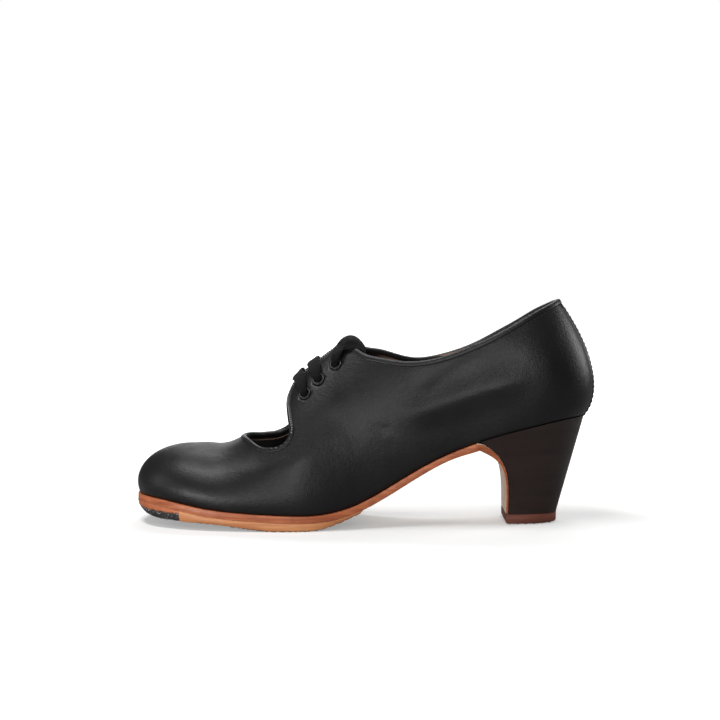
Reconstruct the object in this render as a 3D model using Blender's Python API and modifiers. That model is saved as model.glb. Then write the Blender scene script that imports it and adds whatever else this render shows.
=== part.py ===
"""A flamenco shoe: left shoe, size 37 to 38, empty and laced, standing on its heel and forefoot.

Metres, +Z up. The toe points to -X, the outer side of the foot is -Y and the inner side +Y. The
origin is on the floor under the middle of the shoe. The upper, soles, insole and heel are all
worked out from one last: a table of sections gives, for each place along the foot, the half widths,
the crown and the fullness of the sides, and every piece is cut from that last or fitted to its
feather line, the edge where upper meets sole.
"""

import math

import bmesh
import bpy
import numpy as np
from mathutils import Vector
from mathutils.geometry import delaunay_2d_cdt

# Driving dimensions, in metres
SHOE_LENGTH = 0.2424
BALL_WIDTH = 0.078
INSTEP_HEIGHT = 0.085
SOLE_HEIGHT = 0.0083
TOE_SPRING = 0.0082
HEEL_RISE = 0.0488
TOE_SWING = 0.003

WALL = 0.0022
BINDING_WIDTH = 0.0030
BINDING_RISE = 0.0006
STEP_WIDTH = 0.0007
BACK_STRIP_WIDTH = 0.012
BACK_STRIP_RISE = 0.0005

GAP = 0.0003
SOLE_OVERHANG = 0.0008
OUTSOLE_THICKNESS = 0.0037
BREAST_FLAP = 0.0013
HALF_SOLE_END = 0.1185
INSOLE_THICKNESS = 0.0020

HEEL_FRONT = 0.1971
HEEL_BACK = 0.2234
HEEL_HALF_WIDTH = 0.0160
LIFT_HEIGHT = 0.0056
NAIL_HEIGHT = 0.0008
NAIL_MARGIN = 0.0022
TOE_NAILS_LENGTH = 0.0255

EYELET_HOLE = 0.0042
EYELET_FLANGE = 0.0070
EYELET_TUBE_WALL = 0.0004
EYELET_RIM = 0.0007
LACE_WIDTH = 0.0072
LACE_THICKNESS = 0.0014

SURFACE_STEP = 0.0055

# The last's sections, from the toe's tip to the back of the heel. foot and crest are the places
# along the shoe of a section's lowest and highest points, as shares of SHOE_LENGTH. outer and inner
# are the half widths at the feather line, as shares of half the BALL_WIDTH, and so are lean, how
# far the side first leans out, and shoulder, how far the top is full. crown is the height over the
# feather line, as a share of INSTEP_HEIGHT, and so are lift, how high the side stands before it
# turns in, and dip, how far the top's fullness hangs below the crest.
SECTION_COLUMNS = ("foot", "crest", "outer", "inner", "crown", "lean", "lift", "shoulder", "dip")
SECTIONS = (
    (0.005, 0.132, 0.00, 0.00, 0.303, 0.125, 0.135, 0.63, 0.00),
    (0.015, 0.134, 0.33, 0.34, 0.304, 0.125, 0.135, 0.63, 0.00),
    (0.037, 0.139, 0.55, 0.58, 0.305, 0.12, 0.13, 0.63, 0.00),
    (0.074, 0.150, 0.73, 0.77, 0.316, 0.12, 0.135, 0.63, 0.00),
    (0.128, 0.171, 0.87, 0.92, 0.340, 0.13, 0.14, 0.62, 0.00),
    (0.198, 0.206, 0.965, 1.01, 0.375, 0.14, 0.15, 0.60, 0.00),
    (0.272, 0.272, 1.00, 1.035, 0.522, 0.17, 0.19, 0.52, 0.00),
    (0.355, 0.355, 1.005, 0.975, 0.826, 0.17, 0.26, 0.45, 0.00),
    (0.425, 0.425, 0.90, 0.78, 0.966, 0.16, 0.33, 0.42, 0.00),
    (0.495, 0.495, 0.765, 0.615, 1.034, 0.16, 0.38, 0.44, 0.01),
    (0.578, 0.570, 0.665, 0.525, 1.030, 0.18, 0.38, 0.52, 0.04),
    (0.660, 0.636, 0.645, 0.55, 0.994, 0.20, 0.35, 0.67, 0.10),
    (0.743, 0.698, 0.665, 0.625, 0.985, 0.18, 0.31, 0.83, 0.21),
    (0.825, 0.759, 0.675, 0.66, 0.983, 0.18, 0.24, 0.95, 0.33),
    (0.891, 0.804, 0.63, 0.62, 0.980, 0.21, 0.185, 1.02, 0.42),
    (0.941, 0.831, 0.475, 0.47, 0.976, 0.24, 0.150, 1.03, 0.48),
    (0.969, 0.843, 0.27, 0.27, 0.975, 0.260, 0.135, 1.03, 0.49),
    (0.980, 0.846, 0.00, 0.00, 0.975, 0.262, 0.132, 1.03, 0.495),
)
ODD_COLUMNS = ("outer", "inner")

# Height of the feather line: along as a share of SHOE_LENGTH, spring as a share of TOE_SPRING and
# rise as a share of HEEL_RISE, both over SOLE_HEIGHT.
FEATHER = (
    (0.000, 0.93, 0.000),
    (0.070, 0.80, 0.000),
    (0.149, 0.42, 0.000),
    (0.243, 0.14, 0.000),
    (0.342, 0.00, 0.000),
    (0.417, 0.00, 0.008),
    (0.483, 0.00, 0.094),
    (0.549, 0.00, 0.262),
    (0.619, 0.00, 0.467),
    (0.687, 0.00, 0.636),
    (0.763, 0.00, 0.776),
    (0.862, 0.00, 0.910),
    (0.950, 0.00, 0.990),
    (1.000, 0.00, 1.000),
)

# The edge of the whole opening, from the middle of the vamp cut-out's front, back round the cut-
# out, up the tab's front, along the lacing slit and round the collar to the back: the place of the
# section that the point lies on, as a share of SHOE_LENGTH, and how far down that section the edge
# lies on the outer and on the inner side, from 0 at the crest to 1 at the feather line.
OPENING = (
    (0.235, 0.000, 0.000),
    (0.239, 0.110, 0.105),
    (0.250, 0.235, 0.215),
    (0.268, 0.376, 0.335),
    (0.284, 0.452, 0.402),
    (0.299, 0.495, 0.452),
    (0.314, 0.522, 0.477),
    (0.327, 0.527, 0.485),
    (0.336, 0.512, 0.474),
    (0.340, 0.477, 0.445),
    (0.338, 0.430, 0.405),
    (0.3345, 0.360, 0.345),
    (0.332, 0.285, 0.275),
    (0.333, 0.210, 0.205),
    (0.340, 0.155, 0.152),
    (0.352, 0.132, 0.130),
    (0.380, 0.115, 0.113),
    (0.415, 0.082, 0.080),
    (0.438, 0.060, 0.058),
    (0.449, 0.064, 0.062),
    (0.457, 0.092, 0.088),
    (0.465, 0.135, 0.128),
    (0.473, 0.180, 0.168),
    (0.480, 0.215, 0.196),
    (0.488, 0.250, 0.226),
    (0.503, 0.304, 0.275),
    (0.530, 0.362, 0.332),
    (0.575, 0.432, 0.422),
    (0.620, 0.472, 0.483),
    (0.662, 0.479, 0.498),
    (0.704, 0.463, 0.490),
    (0.750, 0.424, 0.455),
    (0.800, 0.363, 0.388),
    (0.850, 0.298, 0.318),
    (0.908, 0.234, 0.243),
    (0.952, 0.199, 0.203),
    (0.980, 0.186, 0.186),
)

# Where the eyelets sit: foot and reach as in OPENING, from the lowest to the top one.
EYELETS = (
    (0.371, 0.317),
    (0.400, 0.281),
    (0.437, 0.245),
)

# The long sole's thickness as a share of OUTSOLE_THICKNESS, by place along as a share of SHOE_LENGTH.
WAIST = (
    (0.000, 1.00),
    (0.500, 1.00),
    (0.560, 0.97),
    (0.620, 0.90),
    (0.665, 0.82),
    (0.740, 0.78),
)

# Underside of the half sole: along as a share of SHOE_LENGTH, spring as a share of TOE_SPRING and
# rise as a share of HEEL_RISE.
GROUND = (
    (0.000, 1.170, 0.000),
    (0.012, 0.960, 0.000),
    (0.030, 0.680, 0.000),
    (0.052, 0.545, 0.000),
    (0.080, 0.510, 0.000),
    (0.112, 0.500, 0.000),
    (0.150, 0.450, 0.000),
    (0.195, 0.360, 0.000),
    (0.240, 0.190, 0.000),
    (0.270, 0.070, 0.000),
    (0.300, 0.000, 0.000),
    (0.385, 0.000, 0.000),
    (0.412, 0.000, 0.018),
    (0.450, 0.000, 0.078),
    (0.489, 0.000, 0.163),
)

# The lace over the slit: share of the way from the eyelet to the crest, and height over the leather.
LACE_BAR = (
    (0.00, -0.0012),
    (0.00, 0.0010),
    (0.10, 0.0022),
    (0.28, 0.0024),
    (0.60, 0.0018),
    (1.00, 0.0004),
)
LACE_BAR_LEADS = (0.0190, 0.0145)
LACE_BAR_SECTIONS = 25

# The lace from a top eyelet to the knot: share of the way and height over the leather.
LACE_END = (
    (0.00, -0.0010),
    (0.00, 0.0014),
    (0.14, 0.0029),
    (0.40, 0.0030),
    (0.72, 0.0021),
    (1.00, 0.0019),
)
LACE_END_TO = (0.462, 0.060)
LACE_END_TURN = (0.8, 0.0)
LACE_END_SECTIONS = 12
LACE_END_SPREAD = 0.9

KNOT_PLACE = 0.470
KNOT_LIFT = -0.0034
KNOT_TILT = 0.10
KNOT_SIZE = (0.0150, 0.0104, 0.0044)
KNOT_COLUMNS = 16
KNOT_ROWS = 10

# Form of the heel: bend of its breast and sides, and how square its foot is
BREAST_TOP = 0.7490
BREAST_BEND = 4.4
BREAST_SHARE = 0.22
HEEL_SIDE_BEND = 1.25
HEEL_ROUNDING = 0.8
HEEL_COLUMNS = 18
HEEL_LEVELS = (0.0, 0.15, 0.3, 0.45, 0.58, 0.70, 0.80, 0.88, 0.94, 0.98, 1.0)
FLAP_LEVELS = (0.975, 0.94, 0.88, 0.80, 0.70, 0.58, 0.45, 0.30, 0.15, 0.01)
FLAP_THINNING = 6
SEAT_OVERHANG = 0.0003
SEAT_GAP = 0.0005
WAIST_END = 0.7400

# Fineness of the surfaces and small tolerances
SWING_START = 0.36
MIRRORED_ROWS = 3
NUDGE_U = 0.0004
NUDGE_V = 0.002
SMALLEST_NORMAL = 1e-7
GIRTH = 0.075
EDGE_STEP = 0.0042
BACK_STRIP_REACH = 0.72
TOE_CROWDING = 1.3
EDGE_SAMPLES = 900
CORNER_SHARE = 0.93
CLEAR_SHARE = 0.62
FLAT_MERGE = 1e-6
MERGE = 1e-5
SHARP_ANGLE = 0.7
EYELET_SEAT = EYELET_HOLE / 2 + EYELET_TUBE_WALL + 1.5 * GAP
EYELET_FIELD = 0.0041
EYELET_TAIL = 0.0005
EYELET_FLANGE_FALL = 0.6
EYELET_HOLE_FALL = 0.7
EYELET_STEPS = 16
HOLE_SIDES = 12
OUTLINE_SAMPLES = 120
SOLE_RUNGS = 34
TIP = 0.0018
STEP_EDGE = 0.0001
LACE_SIDES = 10
LACE_GATHER = 0.60
LACE_NARROW = 0.08
LACE_WIDEN = 0.42


def natural_spline(knots, values):
    """Second derivatives of the natural cubic spline through the knots, a column for each value column."""
    gaps = np.diff(knots)
    count = len(knots)
    matrix = np.eye(count)
    right = np.zeros_like(values)
    for i in range(1, count - 1):
        matrix[i, i - 1 : i + 2] = gaps[i - 1], 2 * (gaps[i - 1] + gaps[i]), gaps[i]
        right[i] = 6 * ((values[i + 1] - values[i]) / gaps[i] - (values[i] - values[i - 1]) / gaps[i - 1])
    return np.linalg.solve(matrix, right)


def spline_value(knots, values, bends, place):
    """The spline's value at one place, all columns at once."""
    i = int(np.clip(np.searchsorted(knots, place) - 1, 0, len(knots) - 2))
    gap = knots[i + 1] - knots[i]
    after = (place - knots[i]) / gap
    before = 1 - after
    bend = (before**3 - before) * bends[i] + (after**3 - after) * bends[i + 1]
    return before * values[i] + after * values[i + 1] + bend * gap * gap / 6


FEATHER_KNOTS = np.array([row[0] for row in FEATHER])
FEATHER_VALUES = np.array([row[1:] for row in FEATHER])
FEATHER_BENDS = natural_spline(FEATHER_KNOTS, FEATHER_VALUES)


def feather_height(along):
    share = min(max(along / SHOE_LENGTH, 0.0), 1.0)
    spring, rise = spline_value(FEATHER_KNOTS, FEATHER_VALUES, FEATHER_BENDS, share)
    return SOLE_HEIGHT + TOE_SPRING * spring + HEEL_RISE * rise


def section_spline():
    """Knots, values and bends of the section table, mirrored past both ends for a round toe and heel."""
    rows = np.array(SECTIONS)
    half_width = (rows[:, 2] + rows[:, 3]) / 2 * BALL_WIDTH / 2
    steps = np.hypot(np.diff(rows[:, 0] * SHOE_LENGTH), np.diff(half_width))
    knots = np.concatenate([[0.0], np.cumsum(steps)])
    signs = np.array([-1.0 if name in ODD_COLUMNS else 1.0 for name in SECTION_COLUMNS])
    before = slice(MIRRORED_ROWS, 0, -1)
    after = slice(-2, -2 - MIRRORED_ROWS, -1)
    all_knots = np.concatenate([-knots[before], knots, 2 * knots[-1] - knots[after]])
    values = np.concatenate([rows[before] * signs, rows, rows[after] * signs])
    return all_knots, values, natural_spline(all_knots, values), knots[-1]


# ROUND is the way round the feather line from the toe's tip to the back of the heel
SECTION_KNOTS, SECTION_VALUES, SECTION_BENDS, ROUND = section_spline()
HALF_BALL = BALL_WIDTH / 2
SECTION_SCALES = np.array(
    [SHOE_LENGTH, SHOE_LENGTH, HALF_BALL, HALF_BALL, INSTEP_HEIGHT]
    + [HALF_BALL, INSTEP_HEIGHT, HALF_BALL, INSTEP_HEIGHT]
)


def section(u):
    """The section's columns, in metres, at a place u on the way round the feather line."""
    return spline_value(SECTION_KNOTS, SECTION_VALUES, SECTION_BENDS, u) * SECTION_SCALES


def swing(along):
    """How far the last's middle turns inwards towards the toe."""
    ahead = max(0.0, 1 - along / (SWING_START * SHOE_LENGTH))
    return TOE_SWING * ahead * ahead


def last_point(u, v):
    """Point on the last; v is -1 at the outer feather line, 0 at the crest and 1 at the inner one."""
    foot, crest, outer, inner, crown, lean, lift, shoulder, dip = section(u)
    width = -outer if v < 0 else inner
    away_x, away_y = foot - crest, width
    length = math.hypot(away_x, away_y)
    away_x, away_y = away_x / length, away_y / length
    bottom = feather_height(foot)
    top = bottom + crown
    low = np.array((foot, width, bottom))
    side = np.array((foot + away_x * lean, width + away_y * lean, bottom + lift))
    full = np.array((crest + away_x * shoulder, away_y * shoulder, top - dip))
    high = np.array((crest, 0.0, top))
    down = abs(v)
    up = 1 - down
    point = down**3 * low + 3 * down**2 * up * side + 3 * down * up**2 * full + up**3 * high
    point[1] += swing(point[0])
    return point


def slopes(u, v):
    """The surface's two tangents, along u and along v."""
    along = (last_point(u + NUDGE_U, v) - last_point(u - NUDGE_U, v)) / (2 * NUDGE_U)
    across = (last_point(u, v + NUDGE_V) - last_point(u, v - NUDGE_V)) / (2 * NUDGE_V)
    return along, across


def outward(u, v):
    """Unit normal of the last, pointing out."""
    along, across = slopes(u, v)
    normal = np.cross(along, across)
    length = np.linalg.norm(normal)
    if length < SMALLEST_NORMAL:
        return outward(u + 4 * NUDGE_U, v)
    return normal / length


def over_last(u, v, height):
    return last_point(u, v) + outward(u, v) * height


ROUND_SAMPLES = np.linspace(0.0, ROUND, 600)
FOOT_SAMPLES = np.array([section(u)[0] for u in ROUND_SAMPLES])


def round_place(along):
    """The place on the way round at which the feather line is this far along the shoe."""
    return float(np.interp(along, FOOT_SAMPLES, ROUND_SAMPLES))


def feather_point(u, side, offset):
    """Point on the feather line's plan, moved outwards by offset. side is -1 for outer and 1 for inner."""
    along, _ = slopes(u, side)
    outwards = np.array((-along[1], along[0])) * side
    outwards /= np.linalg.norm(outwards)
    return last_point(u, side)[:2] + outwards * offset


def evenly(points, count):
    """The polyline's points spread evenly along its length."""
    points = np.array(points)
    lengths = np.concatenate([[0.0], np.cumsum(np.linalg.norm(np.diff(points, axis=0), axis=1))])
    places = np.linspace(0.0, lengths[-1], count)
    return np.array([np.interp(places, lengths, column) for column in points.T]).T


def material(name, colour, roughness, metallic=0.0):
    made = bpy.data.materials.new(name)
    made.use_nodes = True
    shader = made.node_tree.nodes["Principled BSDF"]
    shader.inputs["Base Color"].default_value = (*colour, 1.0)
    shader.inputs["Roughness"].default_value = roughness
    shader.inputs["Metallic"].default_value = metallic
    return made


def mesh_object(name, points, faces, finish):
    mesh = bpy.data.meshes.new(name)
    mesh.from_pydata([tuple(map(float, point)) for point in points], [], faces)
    edit = bmesh.new()
    edit.from_mesh(mesh)
    bmesh.ops.remove_doubles(edit, verts=edit.verts, dist=MERGE)
    bmesh.ops.recalc_face_normals(edit, faces=edit.faces)
    edit.to_mesh(mesh)
    edit.free()
    mesh.shade_smooth()
    mesh.set_sharp_from_angle(angle=SHARP_ANGLE)
    mesh.materials.append(finish)
    made = bpy.data.objects.new(name, mesh)
    shoe_collection.objects.link(made)
    made.parent = shoe_origin
    return made


def ladder(name, top, bottom, finish):
    """A closed solid between two ladders of rungs, each rung an outer and an inner point."""
    count = len(top)
    points = [point for rungs in (top, bottom) for rung in rungs for point in rung]
    low = 2 * count
    faces = [(0, 1, low + 1, low)]
    for i in range(0, 2 * count - 2, 2):
        faces.append((i, i + 2, i + 3, i + 1))
        faces.append((low + i, low + i + 1, low + i + 3, low + i + 2))
        faces.append((i, low + i, low + i + 2, i + 2))
        faces.append((i + 1, i + 3, low + i + 3, low + i + 1))
    end = 2 * count - 2
    faces.append((end, end + 1, low + end + 1, low + end))
    return mesh_object(name, points, faces, finish)


def edge_knots():
    """The opening's edge as places: outer side from the back to the crest, then the inner side."""
    outer = [(round_place(foot * SHOE_LENGTH), -reach) for foot, reach, _ in OPENING]
    inner = [(round_place(foot * SHOE_LENGTH), reach) for foot, _, reach in OPENING]
    outer.append((2 * ROUND - outer[-2][0], outer[-2][1]))
    inner.append((2 * ROUND - inner[-2][0], inner[-2][1]))
    return np.array(outer[::-1] + inner[1:])


def edge_curve(samples):
    """Points close together along the opening's edge, as places (u, v)."""
    knots = edge_knots()
    steps = np.linalg.norm(np.diff(knots * (1, GIRTH), axis=0), axis=1)
    places = np.concatenate([[0.0], np.cumsum(steps)])
    bends = natural_spline(places, knots)
    wanted = np.linspace(places[1], places[-2], samples)
    curve = np.array([spline_value(places, knots, bends, place) for place in wanted])
    curve[[0, -1], 0] = ROUND
    return curve


def spread(places, step):
    """Places spread evenly, at about this step, along the curve that they make on the last."""
    points = np.array([last_point(u, v) for u, v in places])
    lengths = np.concatenate([[0.0], np.cumsum(np.linalg.norm(np.diff(points, axis=0), axis=1))])
    wanted = np.linspace(0.0, lengths[-1], round(lengths[-1] / step) + 1)
    return np.array([np.interp(wanted, lengths, column) for column in places.T]).T


def moved_on_last(place, direction, distance):
    """The place reached by going this far from a place, along the last in the given direction."""
    tangents = np.array(slopes(*place)).T
    step = np.linalg.lstsq(tangents, np.array(direction) * distance, rcond=None)[0]
    return np.array(place) + step


def inset_loop(edge, edge_points, distance):
    """A line in the leather at this distance from the opening's edge, without its folded corners."""
    loop = []
    for i, place in enumerate(edge):
        ahead = edge_points[min(i + 1, len(edge) - 1)]
        behind = edge_points[max(i - 1, 0)]
        into = np.cross(outward(*place), (ahead - behind) / np.linalg.norm(ahead - behind))
        moved = moved_on_last(place, into, distance)
        clear = np.linalg.norm(edge_points - last_point(*moved), axis=1).min()
        if clear > CORNER_SHARE * distance:
            loop.append(moved)
    loop[0][0] = ROUND
    loop[-1][0] = ROUND
    return loop


def eyelet_places():
    """Name and place of each eyelet."""
    for number, (foot, reach) in enumerate(EYELETS, 1):
        for side, name in ((-1, "outer"), (1, "inner")):
            yield f"{name}_{number}", round_place(foot * SHOE_LENGTH), side * reach


def hole_loop(u, v, radius):
    """A round hole in the leather, as places."""
    along, _ = slopes(u, v)
    first = along / np.linalg.norm(along)
    second = np.cross(outward(u, v), first)
    turns = [2 * math.pi * i / HOLE_SIDES for i in range(HOLE_SIDES)]
    ways = [first * math.cos(turn) + second * math.sin(turn) for turn in turns]
    return [moved_on_last((u, v), way, radius) for way in ways]


def inside(place, loop):
    """Whether a place lies inside a closed loop of places."""
    x, y = place
    ends = np.roll(loop, -1, axis=0)
    crosses = (loop[:, 1] > y) != (ends[:, 1] > y)
    a, b = loop[crosses], ends[crosses]
    at = a[:, 0] + (y - a[:, 1]) / (b[:, 1] - a[:, 1]) * (b[:, 0] - a[:, 0])
    return bool((at > x).sum() % 2)


def pattern_outline(edge, step):
    """The leather pattern's outline, as places: feather line, back and the edge of the opening."""
    feather = [ROUND * i / round(ROUND / step) for i in range(round(ROUND / step) + 1)]
    toe_count = round(GIRTH / 2 / step) * 2
    toe = [1 - 2 * i / toe_count for i in range(1, toe_count)]
    back_count = round((1 + edge[0][1]) * GIRTH / step)
    back = [-1 + (1 + edge[0][1]) * i / back_count for i in range(1, back_count)]
    outline = [(u, -1.0) for u in feather] + [(ROUND, v) for v in back] + [tuple(place) for place in edge]
    outline += [(ROUND, -v) for v in reversed(back)] + [(u, 1.0) for u in reversed(feather)]
    return np.array(outline + [(0.0, v) for v in toe])


def upper_pattern(step):
    """Places and triangles of the whole upper, laid flat in the last's own places."""
    edge = spread(edge_curve(EDGE_SAMPLES), EDGE_STEP)
    edge_points = np.array([last_point(u, v) for u, v in edge])
    outline = pattern_outline(edge, step)
    holes = [np.array(hole_loop(u, v, EYELET_SEAT)) for _, u, v in eyelet_places()]
    fields = [np.array(hole_loop(u, v, EYELET_FIELD)) for _, u, v in eyelet_places()]
    lines = [inset_loop(edge, edge_points, width) for width in (BINDING_WIDTH, BINDING_WIDTH + STEP_WIDTH)]
    for half in (BACK_STRIP_WIDTH / 2, BACK_STRIP_WIDTH / 2 + STEP_WIDTH):
        for side in (-1, 1):
            rows = round(BACK_STRIP_REACH * GIRTH / step)
            heights = [1 - BACK_STRIP_REACH * i / rows for i in range(rows + 1)]
            lines.append([(ROUND - half, side * height) for height in heights])
    places, links = [], []
    loops = [outline] + holes + fields
    for loop, closed in [(loop, True) for loop in loops] + [(line, False) for line in lines]:
        first = len(places)
        places += [tuple(place) for place in loop]
        links += [(first + i, first + i + 1) for i in range(len(loop) - 1)]
        if closed:
            links.append((first + len(loop) - 1, first))
    fixed = np.array([last_point(u, v) for u, v in places])
    for i in range(1, round(ROUND / step)):
        for j in range(1, round(2 * GIRTH / step)):
            place = (i * step, -1 + 2 * j / round(2 * GIRTH / step))
            if not inside(place, outline):
                continue
            if np.linalg.norm(fixed - last_point(*place), axis=1).min() > CLEAR_SHARE * step:
                places.append(place)
    flat = [Vector((u, v * GIRTH)) for u, v in places]
    corners, _, triangles, _, _, _ = delaunay_2d_cdt(flat, links, [], 0, FLAT_MERGE)
    found = np.array([(corner.x, corner.y / GIRTH) for corner in corners])
    kept = []
    for triangle in triangles:
        middle = found[list(triangle)].mean(axis=0)
        if inside(middle, outline) and not any(inside(middle, hole) for hole in holes):
            kept.append(tuple(triangle))
    return found, kept


def wall_rise(u, point, edge_points):
    """How far the upper's outside stands out here: its binding, or the strip up its back."""
    from_edge = np.linalg.norm(edge_points - point, axis=1).min()
    bound = BINDING_RISE if from_edge < BINDING_WIDTH + STEP_WIDTH / 2 else 0.0
    strip = BACK_STRIP_RISE if ROUND - u < (BACK_STRIP_WIDTH + STEP_WIDTH) / 2 else 0.0
    return max(bound, strip)


def build_upper(finish):
    """One hollow wall round the last, open at the cut-out, slit and collar and along the feather line."""
    places, triangles = upper_pattern(SURFACE_STEP)
    edge_points = np.array([last_point(u, v) for u, v in edge_curve(EDGE_SAMPLES)])
    rises = [wall_rise(u, last_point(u, v), edge_points) for u, v in places]
    points = [over_last(u, v, rise) for (u, v), rise in zip(places, rises)]
    upper = mesh_object("upper", points, triangles, finish)
    most = WALL + BINDING_RISE
    tree = np.array(points)
    group = upper.vertex_groups.new(name="thickness")
    for vertex in upper.data.vertices:
        nearest = int(np.linalg.norm(tree - np.array(vertex.co), axis=1).argmin())
        group.add([vertex.index], (WALL + rises[nearest]) / most, "REPLACE")
    wall = upper.modifiers.new("wall", "SOLIDIFY")
    wall.thickness = most
    wall.offset = -1.0
    wall.vertex_group = group.name
    return upper


def along_path_normal(before, after):
    """Unit direction, in side view, that points down from a path running from toe to heel."""
    run, rise = after[0] - before[0], after[1] - before[1]
    length = math.hypot(run, rise)
    return rise / length, -run / length


def feather_normal(along):
    ahead, behind = along + NUDGE_U, along - NUDGE_U
    return along_path_normal((behind, feather_height(behind)), (ahead, feather_height(ahead)))


def outsole_thickness(along):
    share = along / SHOE_LENGTH
    shares = [row[1] for row in WAIST]
    return OUTSOLE_THICKNESS * float(np.interp(share, [row[0] for row in WAIST], shares))


def rung_places(start, stop, count, crowded=True):
    """Places on the way round from start to stop, closer together at the toe."""
    shares = [i / (count - 1) for i in range(count)]
    return [start + (stop - start) * (share**TOE_CROWDING if crowded else share) for share in shares]


def sole_rung(u, offset, drop):
    """Outer and inner point under the feather line, moved out by offset and down its normal by drop."""
    rung = []
    for side in (-1, 1):
        x, y = feather_point(u, side, offset)
        normal = feather_normal(x)
        rung.append((x + normal[0] * drop(x), y, feather_height(x) + normal[1] * drop(x)))
    return rung


def block_corner(side, share):
    """The heel's outline at its seat and at its foot, share 0 at the breast to 1 at the back."""
    seat = SEAT_OUTLINE[side]
    foot = HEEL_OUTLINE[side]
    at = share * (len(seat) - 1)
    i = min(int(at), len(seat) - 2)
    part = at - i
    return seat[i] + (seat[i + 1] - seat[i]) * part, foot[i] + (foot[i + 1] - foot[i]) * part


def block_point(side, share, level):
    """Point on the heel's side. level runs from 0 at its foot to 1 at the seat."""
    top, foot = block_corner(side, share)
    front = max(0.0, 1 - share / BREAST_SHARE) ** 2
    bend = 1 + (BREAST_BEND - 1) * front
    x = foot[0] + (top[0] - foot[0]) * level**bend
    y = foot[1] + (top[1] - foot[1]) * level**HEEL_SIDE_BEND
    return np.array((x, y, foot[2] + (top[2] - foot[2]) * level))


def seat_outline(side):
    first = round_place(BREAST_TOP * SHOE_LENGTH)
    points = []
    for u in np.linspace(first, ROUND, OUTLINE_SAMPLES):
        x, y = feather_point(u, side, SEAT_OVERHANG)
        points.append((x, y, feather_height(x) - SEAT_GAP))
    return evenly(points, HEEL_COLUMNS)


def heel_outline(side, front, inset, height):
    """A D-shaped outline: a straight front and sides that close in a round back."""
    length = HEEL_BACK - front - 2 * inset
    points = []
    for turn in np.linspace(0.0, math.pi / 2, OUTLINE_SAMPLES):
        x = front + inset + length * math.sin(turn) ** HEEL_ROUNDING
        y = side * (HEEL_HALF_WIDTH - inset) * math.cos(turn) ** HEEL_ROUNDING
        points.append((x, y, height))
    return evenly(points, HEEL_COLUMNS)


def build_heel_block(finish):
    """Layers of the heel's outline, from the lift up to the slanting seat."""
    points, faces = [], []
    columns = HEEL_COLUMNS
    width = 2 * columns
    for level in HEEL_LEVELS:
        for side in (-1, 1):
            points += [block_point(side, i / (columns - 1), level) for i in range(columns)]
    for layer in range(len(HEEL_LEVELS) - 1):
        a, b = layer * width, (layer + 1) * width
        for i in range(columns - 1):
            faces.append((a + i, a + i + 1, b + i + 1, b + i))
            faces.append((a + columns + i + 1, a + columns + i, b + columns + i, b + columns + i + 1))
        faces.append((a + columns, a, b, b + columns))
    last = (len(HEEL_LEVELS) - 1) * width
    for i in range(columns - 2):
        faces.append((i + 1, i, columns + i, columns + i + 1))
        faces.append((last + i, last + i + 1, last + columns + i + 1, last + columns + i))
    faces.append((columns - 1, columns - 2, 2 * columns - 2))
    faces.append((last + columns - 2, last + columns - 1, last + 2 * columns - 2))
    return mesh_object("heel_block", points, faces, finish)


def heel_slab(name, front, inset, bottom, top, finish):
    rungs = []
    for height in (top, bottom):
        outer = heel_outline(-1, front, inset, height)[:-1]
        inner = heel_outline(1, front, inset, height)[:-1]
        rungs.append(list(zip(outer, inner)))
    return ladder(name, rungs[0], rungs[1], finish)


def build_outsole(finish):
    """The long sole, from the toe to the waist and down over the breast of the heel as a flap."""
    top, bottom = [], []
    for u in rung_places(TIP, round_place(WAIST_END * SHOE_LENGTH), SOLE_RUNGS):
        top.append(sole_rung(u, SOLE_OVERHANG, lambda x: GAP))
        bottom.append(sole_rung(u, SOLE_OVERHANG, lambda x: GAP + outsole_thickness(x)))
    path = [block_point(-1, 0.0, level)[[0, 2]] for level in FLAP_LEVELS]
    for i, level in enumerate(FLAP_LEVELS):
        before, after = path[max(i - 1, 0)], path[min(i + 1, len(path) - 1)]
        down = along_path_normal(before, after)
        upper_share = (level / FLAP_LEVELS[0]) ** FLAP_THINNING
        thick = BREAST_FLAP + (outsole_thickness(WAIST_END * SHOE_LENGTH) - BREAST_FLAP) * upper_share
        ys = [block_point(side, 0.0, level)[1] for side in (-1, 1)]
        near, far = GAP, GAP + thick
        top.append([(path[i][0] + down[0] * near, y, path[i][1] + down[1] * near) for y in ys])
        bottom.append([(path[i][0] + down[0] * far, y, path[i][1] + down[1] * far) for y in ys])
    return ladder("outsole", top, bottom, finish)


def ground_height(along):
    """Height of the half sole's underside: up at the toe, flat under the ball, up to the waist."""
    share = along / SHOE_LENGTH
    places = [row[0] for row in GROUND]
    spring = float(np.interp(share, places, [row[1] for row in GROUND]))
    rise = float(np.interp(share, places, [row[2] for row in GROUND]))
    return TOE_SPRING * spring + HEEL_RISE * rise


def ground_rung(u, offset, height):
    rung = []
    for side in (-1, 1):
        x, y = feather_point(u, side, offset)
        rung.append((x, y, height(x)))
    return rung


def build_half_sole(finish):
    """The second layer under the forefoot, with a recess for the toe nails and its end at the waist."""
    end = round_place(HALF_SOLE_END)
    nails_end = round_place(TOE_NAILS_LENGTH + GAP)
    places = rung_places(TIP, nails_end - STEP_EDGE, 8) + rung_places(nails_end + STEP_EDGE, end, 16, False)
    top = [sole_rung(u, SOLE_OVERHANG, lambda x: 2 * GAP + outsole_thickness(x)) for u in places]
    bottom = []
    for u in places:
        room = NAIL_HEIGHT + GAP if u < nails_end else 0.0
        bottom.append(ground_rung(u, SOLE_OVERHANG, lambda x, room=room: ground_height(x) + room))
    return ladder("half_sole", top, bottom, finish)


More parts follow.
